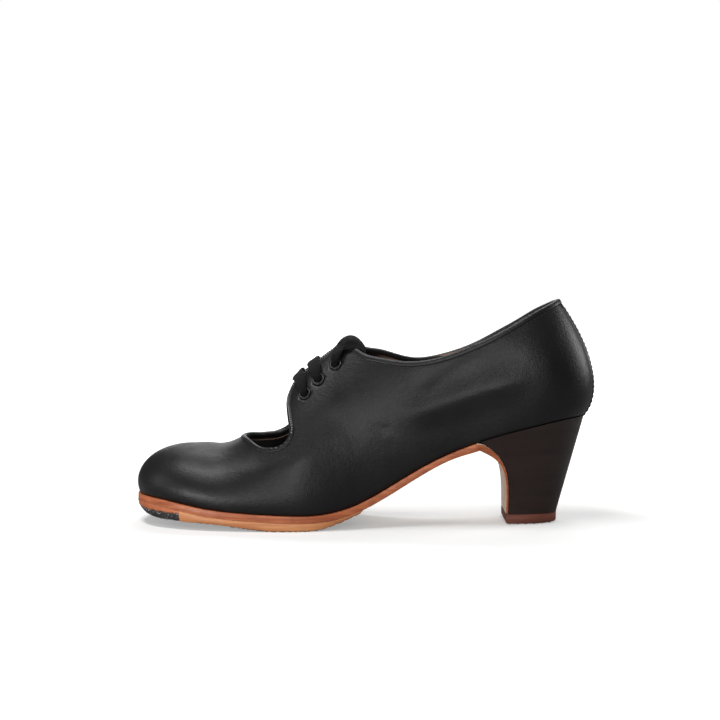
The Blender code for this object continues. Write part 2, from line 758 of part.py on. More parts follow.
def build_toe_nails(finish):
    places = rung_places(TIP, round_place(TOE_NAILS_LENGTH - 2 * GAP), 8)
    inset = SOLE_OVERHANG - GAP
    top = [ground_rung(u, inset, lambda x: ground_height(x) + NAIL_HEIGHT) for u in places]
    bottom = [ground_rung(u, inset, ground_height) for u in places]
    return ladder("toe_nails", top, bottom, finish)


def build_insole(finish):
    places = rung_places(TIP, ROUND - TIP, SOLE_RUNGS + 6, False)
    inset = -(WALL + 2 * GAP)
    top = [ground_rung(u, inset, lambda x: feather_height(x) + INSOLE_THICKNESS) for u in places]
    bottom = [ground_rung(u, inset, feather_height) for u in places]
    return ladder("insole", top, bottom, finish)


def build_eyelet(name, u, v, finish):
    """A flanged ring whose tube goes through the wall."""
    hole = EYELET_HOLE / 2
    tube = hole + EYELET_TUBE_WALL
    flange = EYELET_FLANGE / 2
    inner_end = -(WALL + EYELET_TAIL)
    profile = (
        (flange, GAP + EYELET_RIM * EYELET_FLANGE_FALL),
        (flange, GAP),
        (tube, GAP),
        (tube, inner_end),
        (hole, inner_end),
        (hole, GAP + EYELET_RIM * EYELET_HOLE_FALL),
        (tube, GAP + EYELET_RIM),
    )
    mesh = bpy.data.meshes.new("eyelet_" + name)
    links = [(i, (i + 1) % len(profile)) for i in range(len(profile))]
    mesh.from_pydata([(radius, 0.0, height) for radius, height in profile], links, [])
    mesh.materials.append(finish)
    made = bpy.data.objects.new("eyelet_" + name, mesh)
    shoe_collection.objects.link(made)
    made.parent = shoe_origin
    made.location = Vector(last_point(u, v))
    made.rotation_euler = Vector(outward(u, v)).to_track_quat("Z", "Y").to_euler()
    turn = made.modifiers.new("turn", "SCREW")
    turn.steps = EYELET_STEPS
    turn.render_steps = EYELET_STEPS
    turn.use_merge_vertices = True
    turn.merge_threshold = MERGE
    return made


def smooth_through(points, count):
    points = np.array(points)
    places = np.concatenate([[0.0], np.cumsum(np.linalg.norm(np.diff(points, axis=0), axis=1))])
    bends = natural_spline(places, points)
    return [spline_value(places, points, bends, place) for place in np.linspace(0.0, places[-1], count)]


def ribbon(name, path, widths, across, finish):
    """A flat lace: oval sections along a path, each with its own width, lying across one way."""
    points, faces = [], []
    sides = LACE_SIDES
    for i, middle in enumerate(path):
        ahead = path[min(i + 1, len(path) - 1)] - path[max(i - 1, 0)]
        ahead = ahead / np.linalg.norm(ahead)
        wide = across - ahead * np.dot(across, ahead)
        wide = wide / np.linalg.norm(wide)
        thick = np.cross(ahead, wide)
        for j in range(sides):
            turn = 2 * math.pi * j / sides
            out = wide * math.cos(turn) * widths[i] / 2 + thick * math.sin(turn) * LACE_THICKNESS / 2
            points.append(middle + out)
    for i in range(len(path) - 1):
        for j in range(sides):
            a, b = i * sides + j, i * sides + (j + 1) % sides
            faces.append((a, b, b + sides, a + sides))
    faces.append(tuple(range(sides)))
    faces.append(tuple(range((len(path) - 1) * sides, len(path) * sides)))
    return mesh_object(name, points, faces, finish)


def hole_width(share):
    """The lace's width: gathered in the eyelet, full over the tab."""
    gathered = EYELET_HOLE * LACE_GATHER
    spread_out = min(1.0, max(0.0, (share - LACE_NARROW) / LACE_WIDEN))
    return gathered + (LACE_WIDTH - gathered) * math.sin(spread_out * math.pi / 2)


def build_lace_bar(number, finish):
    """One bar of the lace, up out of an eyelet, over the slit and down into the eyelet across."""
    foot, reach = EYELETS[number - 1]
    u = round_place(foot * SHOE_LENGTH)
    ahead = round_place((foot - LACE_BAR_LEADS[number - 1]) * SHOE_LENGTH)
    points = []
    for share, height in LACE_BAR:
        points.append(over_last(u + (ahead - u) * share, -reach * (1 - share), height))
    for share, height in reversed(LACE_BAR[:-1]):
        points.append(over_last(u + (ahead - u) * share, reach * (1 - share), height))
    path = smooth_through(points, LACE_BAR_SECTIONS)
    middle = (LACE_BAR_SECTIONS - 1) / 2
    widths = [hole_width(1 - abs(i - middle) / middle) for i in range(LACE_BAR_SECTIONS)]
    along, _ = slopes(ahead, 0.0)
    return ribbon(f"lace_bar_{number}", path, widths, along / np.linalg.norm(along), finish)


def build_lace_end(name, side, finish):
    """The lace from a top eyelet to the side of the knot."""
    foot, reach = EYELETS[-1]
    u = round_place(foot * SHOE_LENGTH)
    to_u = round_place(LACE_END_TO[0] * SHOE_LENGTH)
    points = []
    for share, height in LACE_END:
        v = side * (reach + (LACE_END_TO[1] - reach) * share)
        points.append(over_last(u + (to_u - u) * share, v, height))
    path = smooth_through(points, LACE_END_SECTIONS)
    last = LACE_END_SECTIONS - 1
    widths = [hole_width(LACE_END_SPREAD * i / last) for i in range(LACE_END_SECTIONS)]
    along, _ = slopes(u, side * reach)
    across = along / np.linalg.norm(along) * LACE_END_TURN[0] + outward(u, side * reach) * LACE_END_TURN[1]
    return ribbon(name, path, widths, across, finish)


def build_lace_knot(finish):
    """The small knot, as one flattened ball over the top of the slit."""
    edit = bmesh.new()
    bmesh.ops.create_uvsphere(edit, u_segments=KNOT_COLUMNS, v_segments=KNOT_ROWS, radius=1.0)
    mesh = bpy.data.meshes.new("lace_knot")
    edit.to_mesh(mesh)
    edit.free()
    mesh.shade_smooth()
    mesh.materials.append(finish)
    made = bpy.data.objects.new("lace_knot", mesh)
    shoe_collection.objects.link(made)
    made.parent = shoe_origin
    made.location = Vector(over_last(round_place(KNOT_PLACE * SHOE_LENGTH), 0.0, KNOT_LIFT))
    made.rotation_euler = (0.0, KNOT_TILT, 0.0)
    made.scale = (KNOT_SIZE[0] / 2, KNOT_SIZE[1] / 2, KNOT_SIZE[2] / 2)
    return made


def seat_on_origin():
    """Moves the whole shoe so that the origin lies on the floor under the middle of its box."""
    bpy.context.view_layer.update()
    graph = bpy.context.evaluated_depsgraph_get()
    corners = []
    for part in shoe_collection.objects:
        if part.type != "MESH":
            continue
        made = part.evaluated_get(graph)
        corners += [made.matrix_world @ vertex.co for vertex in made.to_mesh().vertices]
        made.to_mesh_clear()
    low = [min(corner[i] for corner in corners) for i in range(3)]
    high = [max(corner[i] for corner in corners) for i in range(3)]
    shoe_origin.location = (-(low[0] + high[0]) / 2, -(low[1] + high[1]) / 2, -low[2])
    bpy.context.view_layer.update()


for old in list(bpy.data.objects):
    bpy.data.objects.remove(old, do_unlink=True)

shoe_collection = bpy.data.collections.new("flamenco_shoe")
bpy.context.scene.collection.children.link(shoe_collection)
shoe_origin = bpy.data.objects.new("shoe_origin", None)
shoe_collection.objects.link(shoe_origin)

SEAT_OUTLINE = {side: seat_outline(side) for side in (-1, 1)}
HEEL_OUTLINE = {side: heel_outline(side, HEEL_FRONT, 0.0, LIFT_HEIGHT) for side in (-1, 1)}

calf = material("black_calf", (0.018, 0.018, 0.019), 0.42)
build_upper(calf)
build_insole(material("tan_lining", (0.36, 0.20, 0.10), 0.6))
sole_leather = material("sole_leather", (0.42, 0.16, 0.06), 0.5)
build_outsole(sole_leather)
build_half_sole(material("pale_sole_leather", (0.55, 0.27, 0.11), 0.55))
build_heel_block(material("dark_wood", (0.035, 0.018, 0.013), 0.45))
lift_front = HEEL_FRONT - GAP - BREAST_FLAP
lift_leather = material("lift_leather", (0.11, 0.03, 0.018), 0.5)
heel_slab("heel_lift", lift_front, 0.0, NAIL_HEIGHT + GAP, LIFT_HEIGHT - GAP, lift_leather)
nail_steel = material("nail_steel", (0.45, 0.44, 0.43), 0.35, 1.0)
heel_slab("heel_nails", lift_front, NAIL_MARGIN, 0.0, NAIL_HEIGHT, nail_steel)
build_toe_nails(nail_steel)
enamel = material("black_enamel", (0.015, 0.015, 0.016), 0.25)
for eyelet_name, eyelet_u, eyelet_v in eyelet_places():
    build_eyelet(eyelet_name, eyelet_u, eyelet_v, enamel)
lace_cotton = material("black_cotton", (0.012, 0.012, 0.012), 0.85)
build_lace_bar(1, lace_cotton)
build_lace_bar(2, lace_cotton)
build_lace_end("lace_end_outer", -1, lace_cotton)
build_lace_end("lace_end_inner", 1, lace_cotton)
build_lace_knot(lace_cotton)
seat_on_origin()
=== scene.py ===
"""The flamenco shoe as it looks: black calf, bound openings, lace, layered sole, wooden heel and nails.

Metres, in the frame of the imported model: the toe points to -X, the outer side is -Y and the floor is z = 0.
Every piece is worked out from the same last as the solids, at a finer step. Places on the last are given as
(u, v): u is the way round the feather line from the toe's tip to the back, and v runs from -1 at the outer
feather line over 0 at the crest to 1 at the inner feather line.
"""

import math

import bmesh
import bpy
import numpy as np
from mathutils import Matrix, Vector
from mathutils.geometry import delaunay_2d_cdt
from mathutils.kdtree import KDTree


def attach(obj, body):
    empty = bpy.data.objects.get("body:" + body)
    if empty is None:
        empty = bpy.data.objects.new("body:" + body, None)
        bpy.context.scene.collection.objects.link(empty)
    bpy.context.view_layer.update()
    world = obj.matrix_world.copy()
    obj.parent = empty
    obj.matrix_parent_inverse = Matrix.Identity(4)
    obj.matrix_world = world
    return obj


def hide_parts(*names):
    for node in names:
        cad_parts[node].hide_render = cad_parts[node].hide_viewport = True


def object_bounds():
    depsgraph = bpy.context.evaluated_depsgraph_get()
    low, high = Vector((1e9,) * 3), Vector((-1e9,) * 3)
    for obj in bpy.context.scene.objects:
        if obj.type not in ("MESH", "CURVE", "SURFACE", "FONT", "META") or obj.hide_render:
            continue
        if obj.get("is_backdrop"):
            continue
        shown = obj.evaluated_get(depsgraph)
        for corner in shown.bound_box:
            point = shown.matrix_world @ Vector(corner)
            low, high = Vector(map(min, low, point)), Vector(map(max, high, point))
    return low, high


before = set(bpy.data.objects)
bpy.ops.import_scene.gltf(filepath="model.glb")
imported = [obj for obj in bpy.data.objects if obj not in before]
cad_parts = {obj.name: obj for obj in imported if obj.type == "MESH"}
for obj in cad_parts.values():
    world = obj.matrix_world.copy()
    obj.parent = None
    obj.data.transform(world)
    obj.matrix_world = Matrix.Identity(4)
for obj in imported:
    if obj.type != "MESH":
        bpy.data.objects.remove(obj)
cad_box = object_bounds()

# Sizes of the solids, in metres
SHOE_LENGTH = 0.2424
BALL_WIDTH = 0.078
INSTEP_HEIGHT = 0.085
SOLE_HEIGHT = 0.0083
TOE_SPRING = 0.0082
HEEL_RISE = 0.0488
TOE_SWING = 0.003
WALL = 0.0022
BACK_STRIP_WIDTH = 0.012
BACK_STRIP_RISE = 0.0005
STEP_WIDTH = 0.0002
STRIP_EDGE = 0.0003
STRIP_SLOPE = 0.0005
GAP = 0.0003
SOLE_OVERHANG = 0.0008
OUTSOLE_THICKNESS = 0.0037
BREAST_FLAP = 0.0013
HALF_SOLE_END = 0.1185
INSOLE_THICKNESS = 0.0020
HEEL_FRONT = 0.1971
HEEL_BACK = 0.2234
HEEL_HALF_WIDTH = 0.0160
LIFT_HEIGHT = 0.0056
TOE_NAILS_LENGTH = 0.0255
EYELET_HOLE = 0.0042
EYELET_FLANGE = 0.0070
EYELET_TUBE_WALL = 0.0004
EYELET_RIM = 0.0007
LACE_WIDTH = 0.0072
LACE_THICKNESS = 0.0014

# Where the model's origin lies, measured from the last's toe, its middle line and the floor
ORIGIN = np.array((0.121611, 0.00051, 0.0))

# The last's sections, from the toe's tip to the back of the heel. foot and crest are the places along the
# shoe of a section's lowest and highest points, as shares of SHOE_LENGTH. outer and inner are the half
# widths at the feather line, as shares of half the BALL_WIDTH, and so are lean, how far the side first
# leans out, and shoulder, how far the top is full. crown is the height over the feather line, as a share
# of INSTEP_HEIGHT, and so are lift, how high the side stands before it turns in, and dip, how far the
# top's fullness hangs below the crest.
SECTION_COLUMNS = ("foot", "crest", "outer", "inner", "crown", "lean", "lift", "shoulder", "dip")
SECTIONS = (
    (0.005, 0.132, 0.00, 0.00, 0.303, 0.125, 0.135, 0.63, 0.00),
    (0.015, 0.134, 0.33, 0.34, 0.304, 0.125, 0.135, 0.63, 0.00),
    (0.037, 0.139, 0.55, 0.58, 0.305, 0.12, 0.13, 0.63, 0.00),
    (0.074, 0.150, 0.73, 0.77, 0.316, 0.12, 0.135, 0.63, 0.00),
    (0.128, 0.171, 0.87, 0.92, 0.340, 0.13, 0.14, 0.62, 0.00),
    (0.198, 0.206, 0.965, 1.01, 0.375, 0.14, 0.15, 0.60, 0.00),
    (0.272, 0.272, 1.00, 1.035, 0.522, 0.17, 0.19, 0.52, 0.00),
    (0.355, 0.355, 1.005, 0.975, 0.826, 0.17, 0.26, 0.45, 0.00),
    (0.425, 0.425, 0.90, 0.78, 0.966, 0.16, 0.33, 0.42, 0.00),
    (0.495, 0.495, 0.765, 0.615, 1.034, 0.16, 0.38, 0.44, 0.01),
    (0.578, 0.570, 0.665, 0.525, 1.030, 0.18, 0.38, 0.52, 0.04),
    (0.660, 0.636, 0.645, 0.55, 0.994, 0.20, 0.35, 0.67, 0.10),
    (0.743, 0.698, 0.665, 0.625, 0.985, 0.18, 0.31, 0.83, 0.21),
    (0.825, 0.759, 0.675, 0.66, 0.983, 0.18, 0.24, 0.95, 0.33),
    (0.891, 0.804, 0.63, 0.62, 0.980, 0.21, 0.185, 1.02, 0.42),
    (0.941, 0.831, 0.475, 0.47, 0.976, 0.24, 0.150, 1.03, 0.48),
    (0.969, 0.843, 0.27, 0.27, 0.975, 0.260, 0.135, 1.03, 0.49),
    (0.980, 0.846, 0.00, 0.00, 0.975, 0.262, 0.132, 1.03, 0.495),
)
ODD_COLUMNS = ("outer", "inner")

# Height of the feather line: along as a share of SHOE_LENGTH, spring as a share of TOE_SPRING and rise as a
# share of HEEL_RISE, both over SOLE_HEIGHT.
FEATHER = (
    (0.000, 0.93, 0.000),
    (0.070, 0.80, 0.000),
    (0.149, 0.42, 0.000),
    (0.243, 0.14, 0.000),
    (0.342, 0.00, 0.000),
    (0.417, 0.00, 0.008),
    (0.483, 0.00, 0.094),
    (0.549, 0.00, 0.262),
    (0.619, 0.00, 0.467),
    (0.687, 0.00, 0.636),
    (0.763, 0.00, 0.776),
    (0.862, 0.00, 0.910),
    (0.950, 0.00, 0.990),
    (1.000, 0.00, 1.000),
)

# The edge of the whole opening, from the middle of the cut-out's front round the cut-out, up the tab's
# front, along the lacing slit and round the collar to the back: the section's place as a share of
# SHOE_LENGTH, and how far down it the edge lies on the outer and on the inner side, from 0 at the crest to
# 1 at the feather line.
OPENING = (
    (0.235, 0.000, 0.000),
    (0.239, 0.110, 0.105),
    (0.250, 0.235, 0.215),
    (0.268, 0.376, 0.335),
    (0.284, 0.452, 0.402),
    (0.299, 0.495, 0.452),
    (0.314, 0.522, 0.477),
    (0.327, 0.527, 0.485),
    (0.336, 0.512, 0.474),
    (0.340, 0.477, 0.445),
    (0.338, 0.430, 0.405),
    (0.3345, 0.360, 0.345),
    (0.332, 0.285, 0.275),
    (0.333, 0.210, 0.205),
    (0.340, 0.155, 0.152),
    (0.352, 0.132, 0.130),
    (0.380, 0.115, 0.113),
    (0.415, 0.082, 0.080),
    (0.438, 0.060, 0.058),
    (0.449, 0.064, 0.062),
    (0.457, 0.092, 0.088),
    (0.465, 0.135, 0.128),
    (0.473, 0.180, 0.168),
    (0.480, 0.215, 0.196),
    (0.488, 0.250, 0.226),
    (0.503, 0.304, 0.275),
    (0.530, 0.362, 0.332),
    (0.575, 0.432, 0.422),
    (0.620, 0.472, 0.483),
    (0.662, 0.479, 0.498),
    (0.704, 0.463, 0.490),
    (0.750, 0.424, 0.455),
    (0.800, 0.363, 0.388),
    (0.850, 0.298, 0.318),
    (0.908, 0.234, 0.243),
    (0.952, 0.199, 0.203),
    (0.980, 0.186, 0.186),
)

# Place and reach of the eyelets, as in OPENING, from the lowest to the top one
EYELETS = ((0.371, 0.317), (0.400, 0.281), (0.437, 0.245))

# The long sole's thickness as a share of OUTSOLE_THICKNESS, by place as a share of SHOE_LENGTH
WAIST = ((0.0, 1.0), (0.5, 1.0), (0.56, 0.97), (0.62, 0.90), (0.665, 0.82), (0.74, 0.78))

# Underside of the half sole: along as a share of SHOE_LENGTH, spring as a share of TOE_SPRING and rise as a
# share of HEEL_RISE
GROUND = (
    (0.000, 1.170, 0.000),
    (0.012, 0.960, 0.000),
    (0.030, 0.680, 0.000),
    (0.052, 0.545, 0.000),
    (0.080, 0.510, 0.000),
    (0.112, 0.500, 0.000),
    (0.150, 0.450, 0.000),
    (0.195, 0.360, 0.000),
    (0.240, 0.190, 0.000),
    (0.270, 0.070, 0.000),
    (0.300, 0.000, 0.000),
    (0.385, 0.000, 0.000),
    (0.412, 0.000, 0.018),
    (0.450, 0.000, 0.078),
    (0.489, 0.000, 0.163),
)

# The lace's route: share of the way from an eyelet to the crest or knot, and height over the leather
LACE_BAR = ((0.00, -0.0012), (0.00, 0.0010), (0.10, 0.0021), (0.28, 0.0024), (0.60, 0.0017), (1.00, 0.0002))
LACE_BAR_LEADS = (0.0190, 0.0145)
LACE_END = (
    (0.00, -0.0010),
    (0.00, 0.0014),
    (0.14, 0.0029),
    (0.40, 0.0026),
    (0.72, 0.0012),
    (1.00, -0.0012),
)
LACE_END_TO = (0.462, 0.060)
KNOT_PLACE = 0.470
KNOT_LIFT = -0.0030
KNOT_SHIFT = (-0.0017, 0.0, 0.0)
KNOT_TAPER = 0.5

# Form of the heel: where its breast starts, the bend of breast and sides, and how square its foot is
BREAST_TOP = 0.7490
BREAST_BEND = 4.4
BREAST_SHARE = 0.22
HEEL_SIDE_BEND = 1.25
HEEL_ROUNDING = 0.8
SEAT_OVERHANG = 0.0003
SEAT_GAP = 0.0002

# How far up the back the strip's step goes, from the feather line at 1
BACK_STRIP_REACH = 0.22

# Where the long sole turns down and where the toe's swing begins, as shares of SHOE_LENGTH
WAIST_END = 0.7400
SWING_START = 0.36

# Reach of the splines past both ends, steps for slopes, round measure of a side, and the sole's tip
MIRRORED_ROWS = 3
NUDGE_U = 0.0004
NUDGE_V = 0.002
SMALLEST_NORMAL = 1e-7
GIRTH = 0.075
TIP = 0.0018

# Nails: their heads, how far apart they stand, how far inside the edge they stop, and for the rows on the
# toe's chamfered edge the share of the way down it, the inset and how steeply the heads look down
HEEL_NAIL_RADIUS = 0.00105
TOE_NAIL_RADIUS = 0.00100
NAIL_HEAD_HEIGHT = 0.00048
NAIL_SEAT = 0.00045
HEEL_NAIL_PITCH = 0.00245
TOE_NAIL_PITCH = 0.00235
EDGE_NAIL_PITCH = 0.0021
NAIL_ROW_SPACING = 0.88
HEEL_NAIL_INSET = 0.0016
HEEL_NAILS_FRONT = 0.0020
HEEL_NAILS_BACK = 0.0018
TOE_NAIL_INSET = 0.0030
TOE_NAILS_FRONT = 0.0042
TOE_NAILS_BACK = 0.001
EDGE_NAIL_ROWS = ((0.62, 0.0006, -0.5), (0.93, 0.0014, -1.2))

# Colours of the sole leather: light and dark of the edges, and pale, worn and scuffed of the faces
OUTSOLE_LIGHT = (0.62, 0.190, 0.072)
OUTSOLE_DARK = (0.36, 0.088, 0.032)
HALF_SOLE_LIGHT = (0.72, 0.310, 0.125)
HALF_SOLE_DARK = (0.50, 0.180, 0.066)
OUTSOLE_FACE = ((0.96, 0.79, 0.66), (0.86, 0.64, 0.50), (0.18, 0.14, 0.11))
HALF_SOLE_FACE = ((0.50, 0.33, 0.22), (0.30, 0.19, 0.13), (0.07, 0.055, 0.05))

# The leather's soft folds: side of the foot, then width and depth in metres, then the line that the fold
# follows, as shares of SHOE_LENGTH along and of INSTEP_HEIGHT over the floor. A negative depth swells.
# Folds fade towards the ends of their lines and towards the crest.
FOLD_SHARPNESS = 1.6
FOLD_FADE = 3.0
FOLD_LEAST = 0.15
CREST_FADE = 8
CREST_CLEAR = 0.4
FOLDS = (
    (-1, 0.0062, -0.0019, ((0.560, 0.655), (0.589, 0.690), (0.674, 0.770), (0.750, 0.846), (0.860, 0.925))),
    (-1, 0.0080, 0.0005, ((0.590, 0.54), (0.680, 0.630), (0.770, 0.710), (0.860, 0.780))),
    (-1, 0.0040, 0.0007, ((0.590, 0.830), (0.640, 0.930), (0.700, 1.040), (0.790, 1.150))),
    (-1, 0.0060, 0.0007, ((0.600, 0.900), (0.680, 0.930), (0.770, 1.010), (0.850, 1.060))),
    (-1, 0.0030, -0.0004, ((0.615, 0.800), (0.674, 0.945), (0.769, 1.090))),
    (-1, 0.0017, 0.0006, ((0.505, 0.640), (0.518, 0.612), (0.535, 0.598), (0.562, 0.600))),
    (-1, 0.0022, -0.0004, ((0.500, 0.605), (0.520, 0.582), (0.562, 0.572))),
    (-1, 0.0100, -0.0006, ((0.430, 0.880), (0.490, 0.812), (0.560, 0.660))),
    (-1, 0.0060, 0.0004, ((0.405, 0.720), (0.450, 0.640), (0.500, 0.520))),
    (-1, 0.0065, -0.0007, ((0.170, 0.345), (0.210, 0.350), (0.290, 0.375), (0.363, 0.420), (0.440, 0.520))),
    (-1, 0.0070, 0.0004, ((0.350, 0.560), (0.430, 0.640), (0.480, 0.720))),
    (1, 0.0060, -0.0009, ((0.560, 0.690), (0.674, 0.790), (0.750, 0.870), (0.845, 0.950))),
    (1, 0.0075, 0.0006, ((0.590, 0.60), (0.680, 0.690), (0.860, 0.820))),
    (1, 0.0035, 0.0006, ((0.600, 0.820), (0.690, 1.020), (0.780, 1.140))),
    (1, 0.0035, 0.0006, ((0.500, 0.640), (0.535, 0.590), (0.565, 0.585))),
    (1, 0.0100, -0.0006, ((0.425, 0.860), (0.490, 0.790), (0.550, 0.640))),
    (1, 0.0065, -0.0006, ((0.180, 0.350), (0.290, 0.385), (0.380, 0.450))),
)

# The sole swells where it turns down into the flap: by how much, and over what length on either side. Then
# the flap's ends as levels of the heel, and how fast it thins.
CORNER_SWELL = 0.0011
CORNER_REACH = 0.010
CORNER_DROP = 0.19
FLAP_TOP = 0.972
FLAP_FOOT = 0.01
FLAP_THINNING = 6

# How steeply a side of a sole layer looks down before it takes the finish of the face
FACE_TURN = 0.6

# The blackened part of the edge over the toe nails: its upper limit's height and fall along the shoe
BLACKENED_TOP = 0.0101
BLACKENED_FALL = 0.050

# The insole's gap to the wall, rounded rim and dish
INSOLE_CLEAR = 0.0001
INSOLE_ROUNDING = 0.0006
INSOLE_DISH = 0.0009

# How square the lace's section is across and through, its soft waves, and the thickness of the knot's wraps
LACE_FLATNESS = 0.75
LACE_FULLNESS = 0.9
LACE_WAVE = 0.00012
KNOT_WAVE = 0.00018
KNOT_THICKNESS = 0.0013
KNOT_SAMPLES = 57
BAR_SAMPLES = 90
TOP_SAMPLES = 110

# Fineness of the surfaces and small tolerances
SKIN_STEP = 0.0019
EDGE_STEP = 0.0011
EDGE_SAMPLES = 2400
CLEAR_SHARE = 0.55
FLAT_MERGE = 1e-7
MERGE = 2e-6
SOLE_RUNGS = 130


def natural_spline(knots, values):
    """Second derivatives of the natural cubic spline through the knots, a column for each value column."""
    gaps = np.diff(knots)
    count = len(knots)
    matrix = np.eye(count)
    right = np.zeros_like(values)
    for i in range(1, count - 1):
        matrix[i, i - 1 : i + 2] = gaps[i - 1], 2 * (gaps[i - 1] + gaps[i]), gaps[i]
        right[i] = 6 * ((values[i + 1] - values[i]) / gaps[i] - (values[i] - values[i - 1]) / gaps[i - 1])
    return np.linalg.solve(matrix, right)


def spline_values(knots, values, bends, places):
    """The spline's values at many places, a row for each."""
    places = np.atleast_1d(places)
    i = np.clip(np.searchsorted(knots, places) - 1, 0, len(knots) - 2)
    gap = (knots[i + 1] - knots[i])[:, None]
    after = (places - knots[i])[:, None] / gap
    before = 1 - after
    bend = (before**3 - before) * bends[i] + (after**3 - after) * bends[i + 1]
    return before * values[i] + after * values[i + 1] + bend * gap * gap / 6


def run_along(points):
    """For each point of a line, how far along the line it lies."""
    return np.concatenate([[0.0], np.cumsum(np.linalg.norm(np.diff(points, axis=0), axis=1))])


def smooth_through(points, count):
    """Points spread evenly on a smooth curve through the given ones."""
    points = np.array(points, float)
    places = run_along(points)
    fine = np.linspace(0, places[-1], 12 * count)
    return evenly(spline_values(places, points, natural_spline(places, points), fine), count)


def evenly(points, count):
    points = np.array(points, float)
    lengths = run_along(points)
    places = np.linspace(0.0, lengths[-1], count)
    return np.array([np.interp(places, lengths, column) for column in points.T]).T


def unit(vectors):
    return vectors / np.linalg.norm(vectors, axis=-1, keepdims=True)


FEATHER_KNOTS = np.array([row[0] for row in FEATHER])
FEATHER_VALUES = np.array([row[1:] for row in FEATHER])
FEATHER_BENDS = natural_spline(FEATHER_KNOTS, FEATHER_VALUES)


def feather_height(along):
    share = np.clip(np.asarray(along) / SHOE_LENGTH, 0.0, 1.0)
    values = spline_values(FEATHER_KNOTS, FEATHER_VALUES, FEATHER_BENDS, share)
    heights = SOLE_HEIGHT + TOE_SPRING * values[:, 0] + HEEL_RISE * values[:, 1]
    return heights if np.ndim(along) else float(heights[0])


def section_spline():
    rows = np.array(SECTIONS)
    half_width = (rows[:, 2] + rows[:, 3]) / 2 * BALL_WIDTH / 2
    steps = np.hypot(np.diff(rows[:, 0] * SHOE_LENGTH), np.diff(half_width))
    knots = np.concatenate([[0.0], np.cumsum(steps)])
    signs = np.array([-1.0 if name in ODD_COLUMNS else 1.0 for name in SECTION_COLUMNS])
    before = slice(MIRRORED_ROWS, 0, -1)
    after = slice(-2, -2 - MIRRORED_ROWS, -1)
    all_knots = np.concatenate([-knots[before], knots, 2 * knots[-1] - knots[after]])
    values = np.concatenate([rows[before] * signs, rows, rows[after] * signs])
    return all_knots, values, natural_spline(all_knots, values), knots[-1]


SECTION_KNOTS, SECTION_VALUES, SECTION_BENDS, ROUND = section_spline()
HALF_BALL = BALL_WIDTH / 2
SECTION_SCALES = np.array(
    [SHOE_LENGTH, SHOE_LENGTH, HALF_BALL, HALF_BALL, INSTEP_HEIGHT]
    + [HALF_BALL, INSTEP_HEIGHT, HALF_BALL, INSTEP_HEIGHT]
)


def last_points(u, v):
    """Points on the last, measured from its toe, for arrays of places."""
    u, v = np.broadcast_arrays(np.atleast_1d(u).astype(float), np.atleast_1d(v).astype(float))
    columns = spline_values(SECTION_KNOTS, SECTION_VALUES, SECTION_BENDS, u) * SECTION_SCALES
    foot, crest, outer, inner, crown, lean, lift, shoulder, dip = columns.T
    width = np.where(v < 0, -outer, inner)
    length = np.hypot(foot - crest, width)
    away_x, away_y = (foot - crest) / length, width / length
    bottom = feather_height(foot)
    top = bottom + crown
    low = np.stack([foot, width, bottom], 1)
    side = np.stack([foot + away_x * lean, width + away_y * lean, bottom + lift], 1)
    full = np.stack([crest + away_x * shoulder, away_y * shoulder, top - dip], 1)
    high = np.stack([crest, np.zeros_like(crest), top], 1)
    down = np.abs(v)[:, None]
    up = 1 - down
    points = down**3 * low + 3 * down**2 * up * side + 3 * down * up**2 * full + up**3 * high
    ahead = np.clip(1 - points[:, 0] / (SWING_START * SHOE_LENGTH), 0.0, None)
    points[:, 1] += TOE_SWING * ahead**2
    return points


def slopes(u, v):
    along = (last_points(u + NUDGE_U, v) - last_points(u - NUDGE_U, v)) / (2 * NUDGE_U)
    across = (last_points(u, v + NUDGE_V) - last_points(u, v - NUDGE_V)) / (2 * NUDGE_V)
    return along, across


def outwards(u, v):
    """Unit normals of the last, pointing out."""
    u, v = np.broadcast_arrays(np.atleast_1d(u).astype(float), np.atleast_1d(v).astype(float))
    along, across = slopes(u, v)
    normals = np.cross(along, across)
    lengths = np.linalg.norm(normals, axis=1)
    weak = lengths < SMALLEST_NORMAL
    if weak.any():
        normals[weak] = outwards(u[weak] + 4 * NUDGE_U, v[weak])
        lengths[weak] = 1.0
    return normals / lengths[:, None]


def over_last(u, v, height):
    points = last_points(u, v) + outwards(u, v) * np.reshape(height, (-1, 1))
    return points if np.ndim(u) else points[0]


ROUND_SAMPLES = np.linspace(0.0, ROUND, 900)
SAMPLES = spline_values(SECTION_KNOTS, SECTION_VALUES, SECTION_BENDS, ROUND_SAMPLES)
FOOT_SAMPLES = SAMPLES[:, 0] * SHOE_LENGTH


def round_place(along):
    return float(np.interp(along, FOOT_SAMPLES, ROUND_SAMPLES))


def moved_on_last(places, directions, distance):
    """Places moved along the last by this distance in these directions."""
    along, across = slopes(places[:, 0], places[:, 1])
    aa = (along * along).sum(1)
    ab = (along * across).sum(1)
    bb = (across * across).sum(1)
    ra = (along * directions).sum(1) * distance
    rb = (across * directions).sum(1) * distance
    whole = aa * bb - ab * ab
    return places + np.stack([(ra * bb - rb * ab) / whole, (rb * aa - ra * ab) / whole], 1)


def feather_plan(u, side, offset):
    """Plan points on the feather line, moved outwards."""
    along, _ = slopes(u, side)
    out = unit(np.stack([-along[:, 1], along[:, 0]], 1)) * side
    return last_points(u, side)[:, :2] + out * np.reshape(offset, (-1, 1))


# Materials


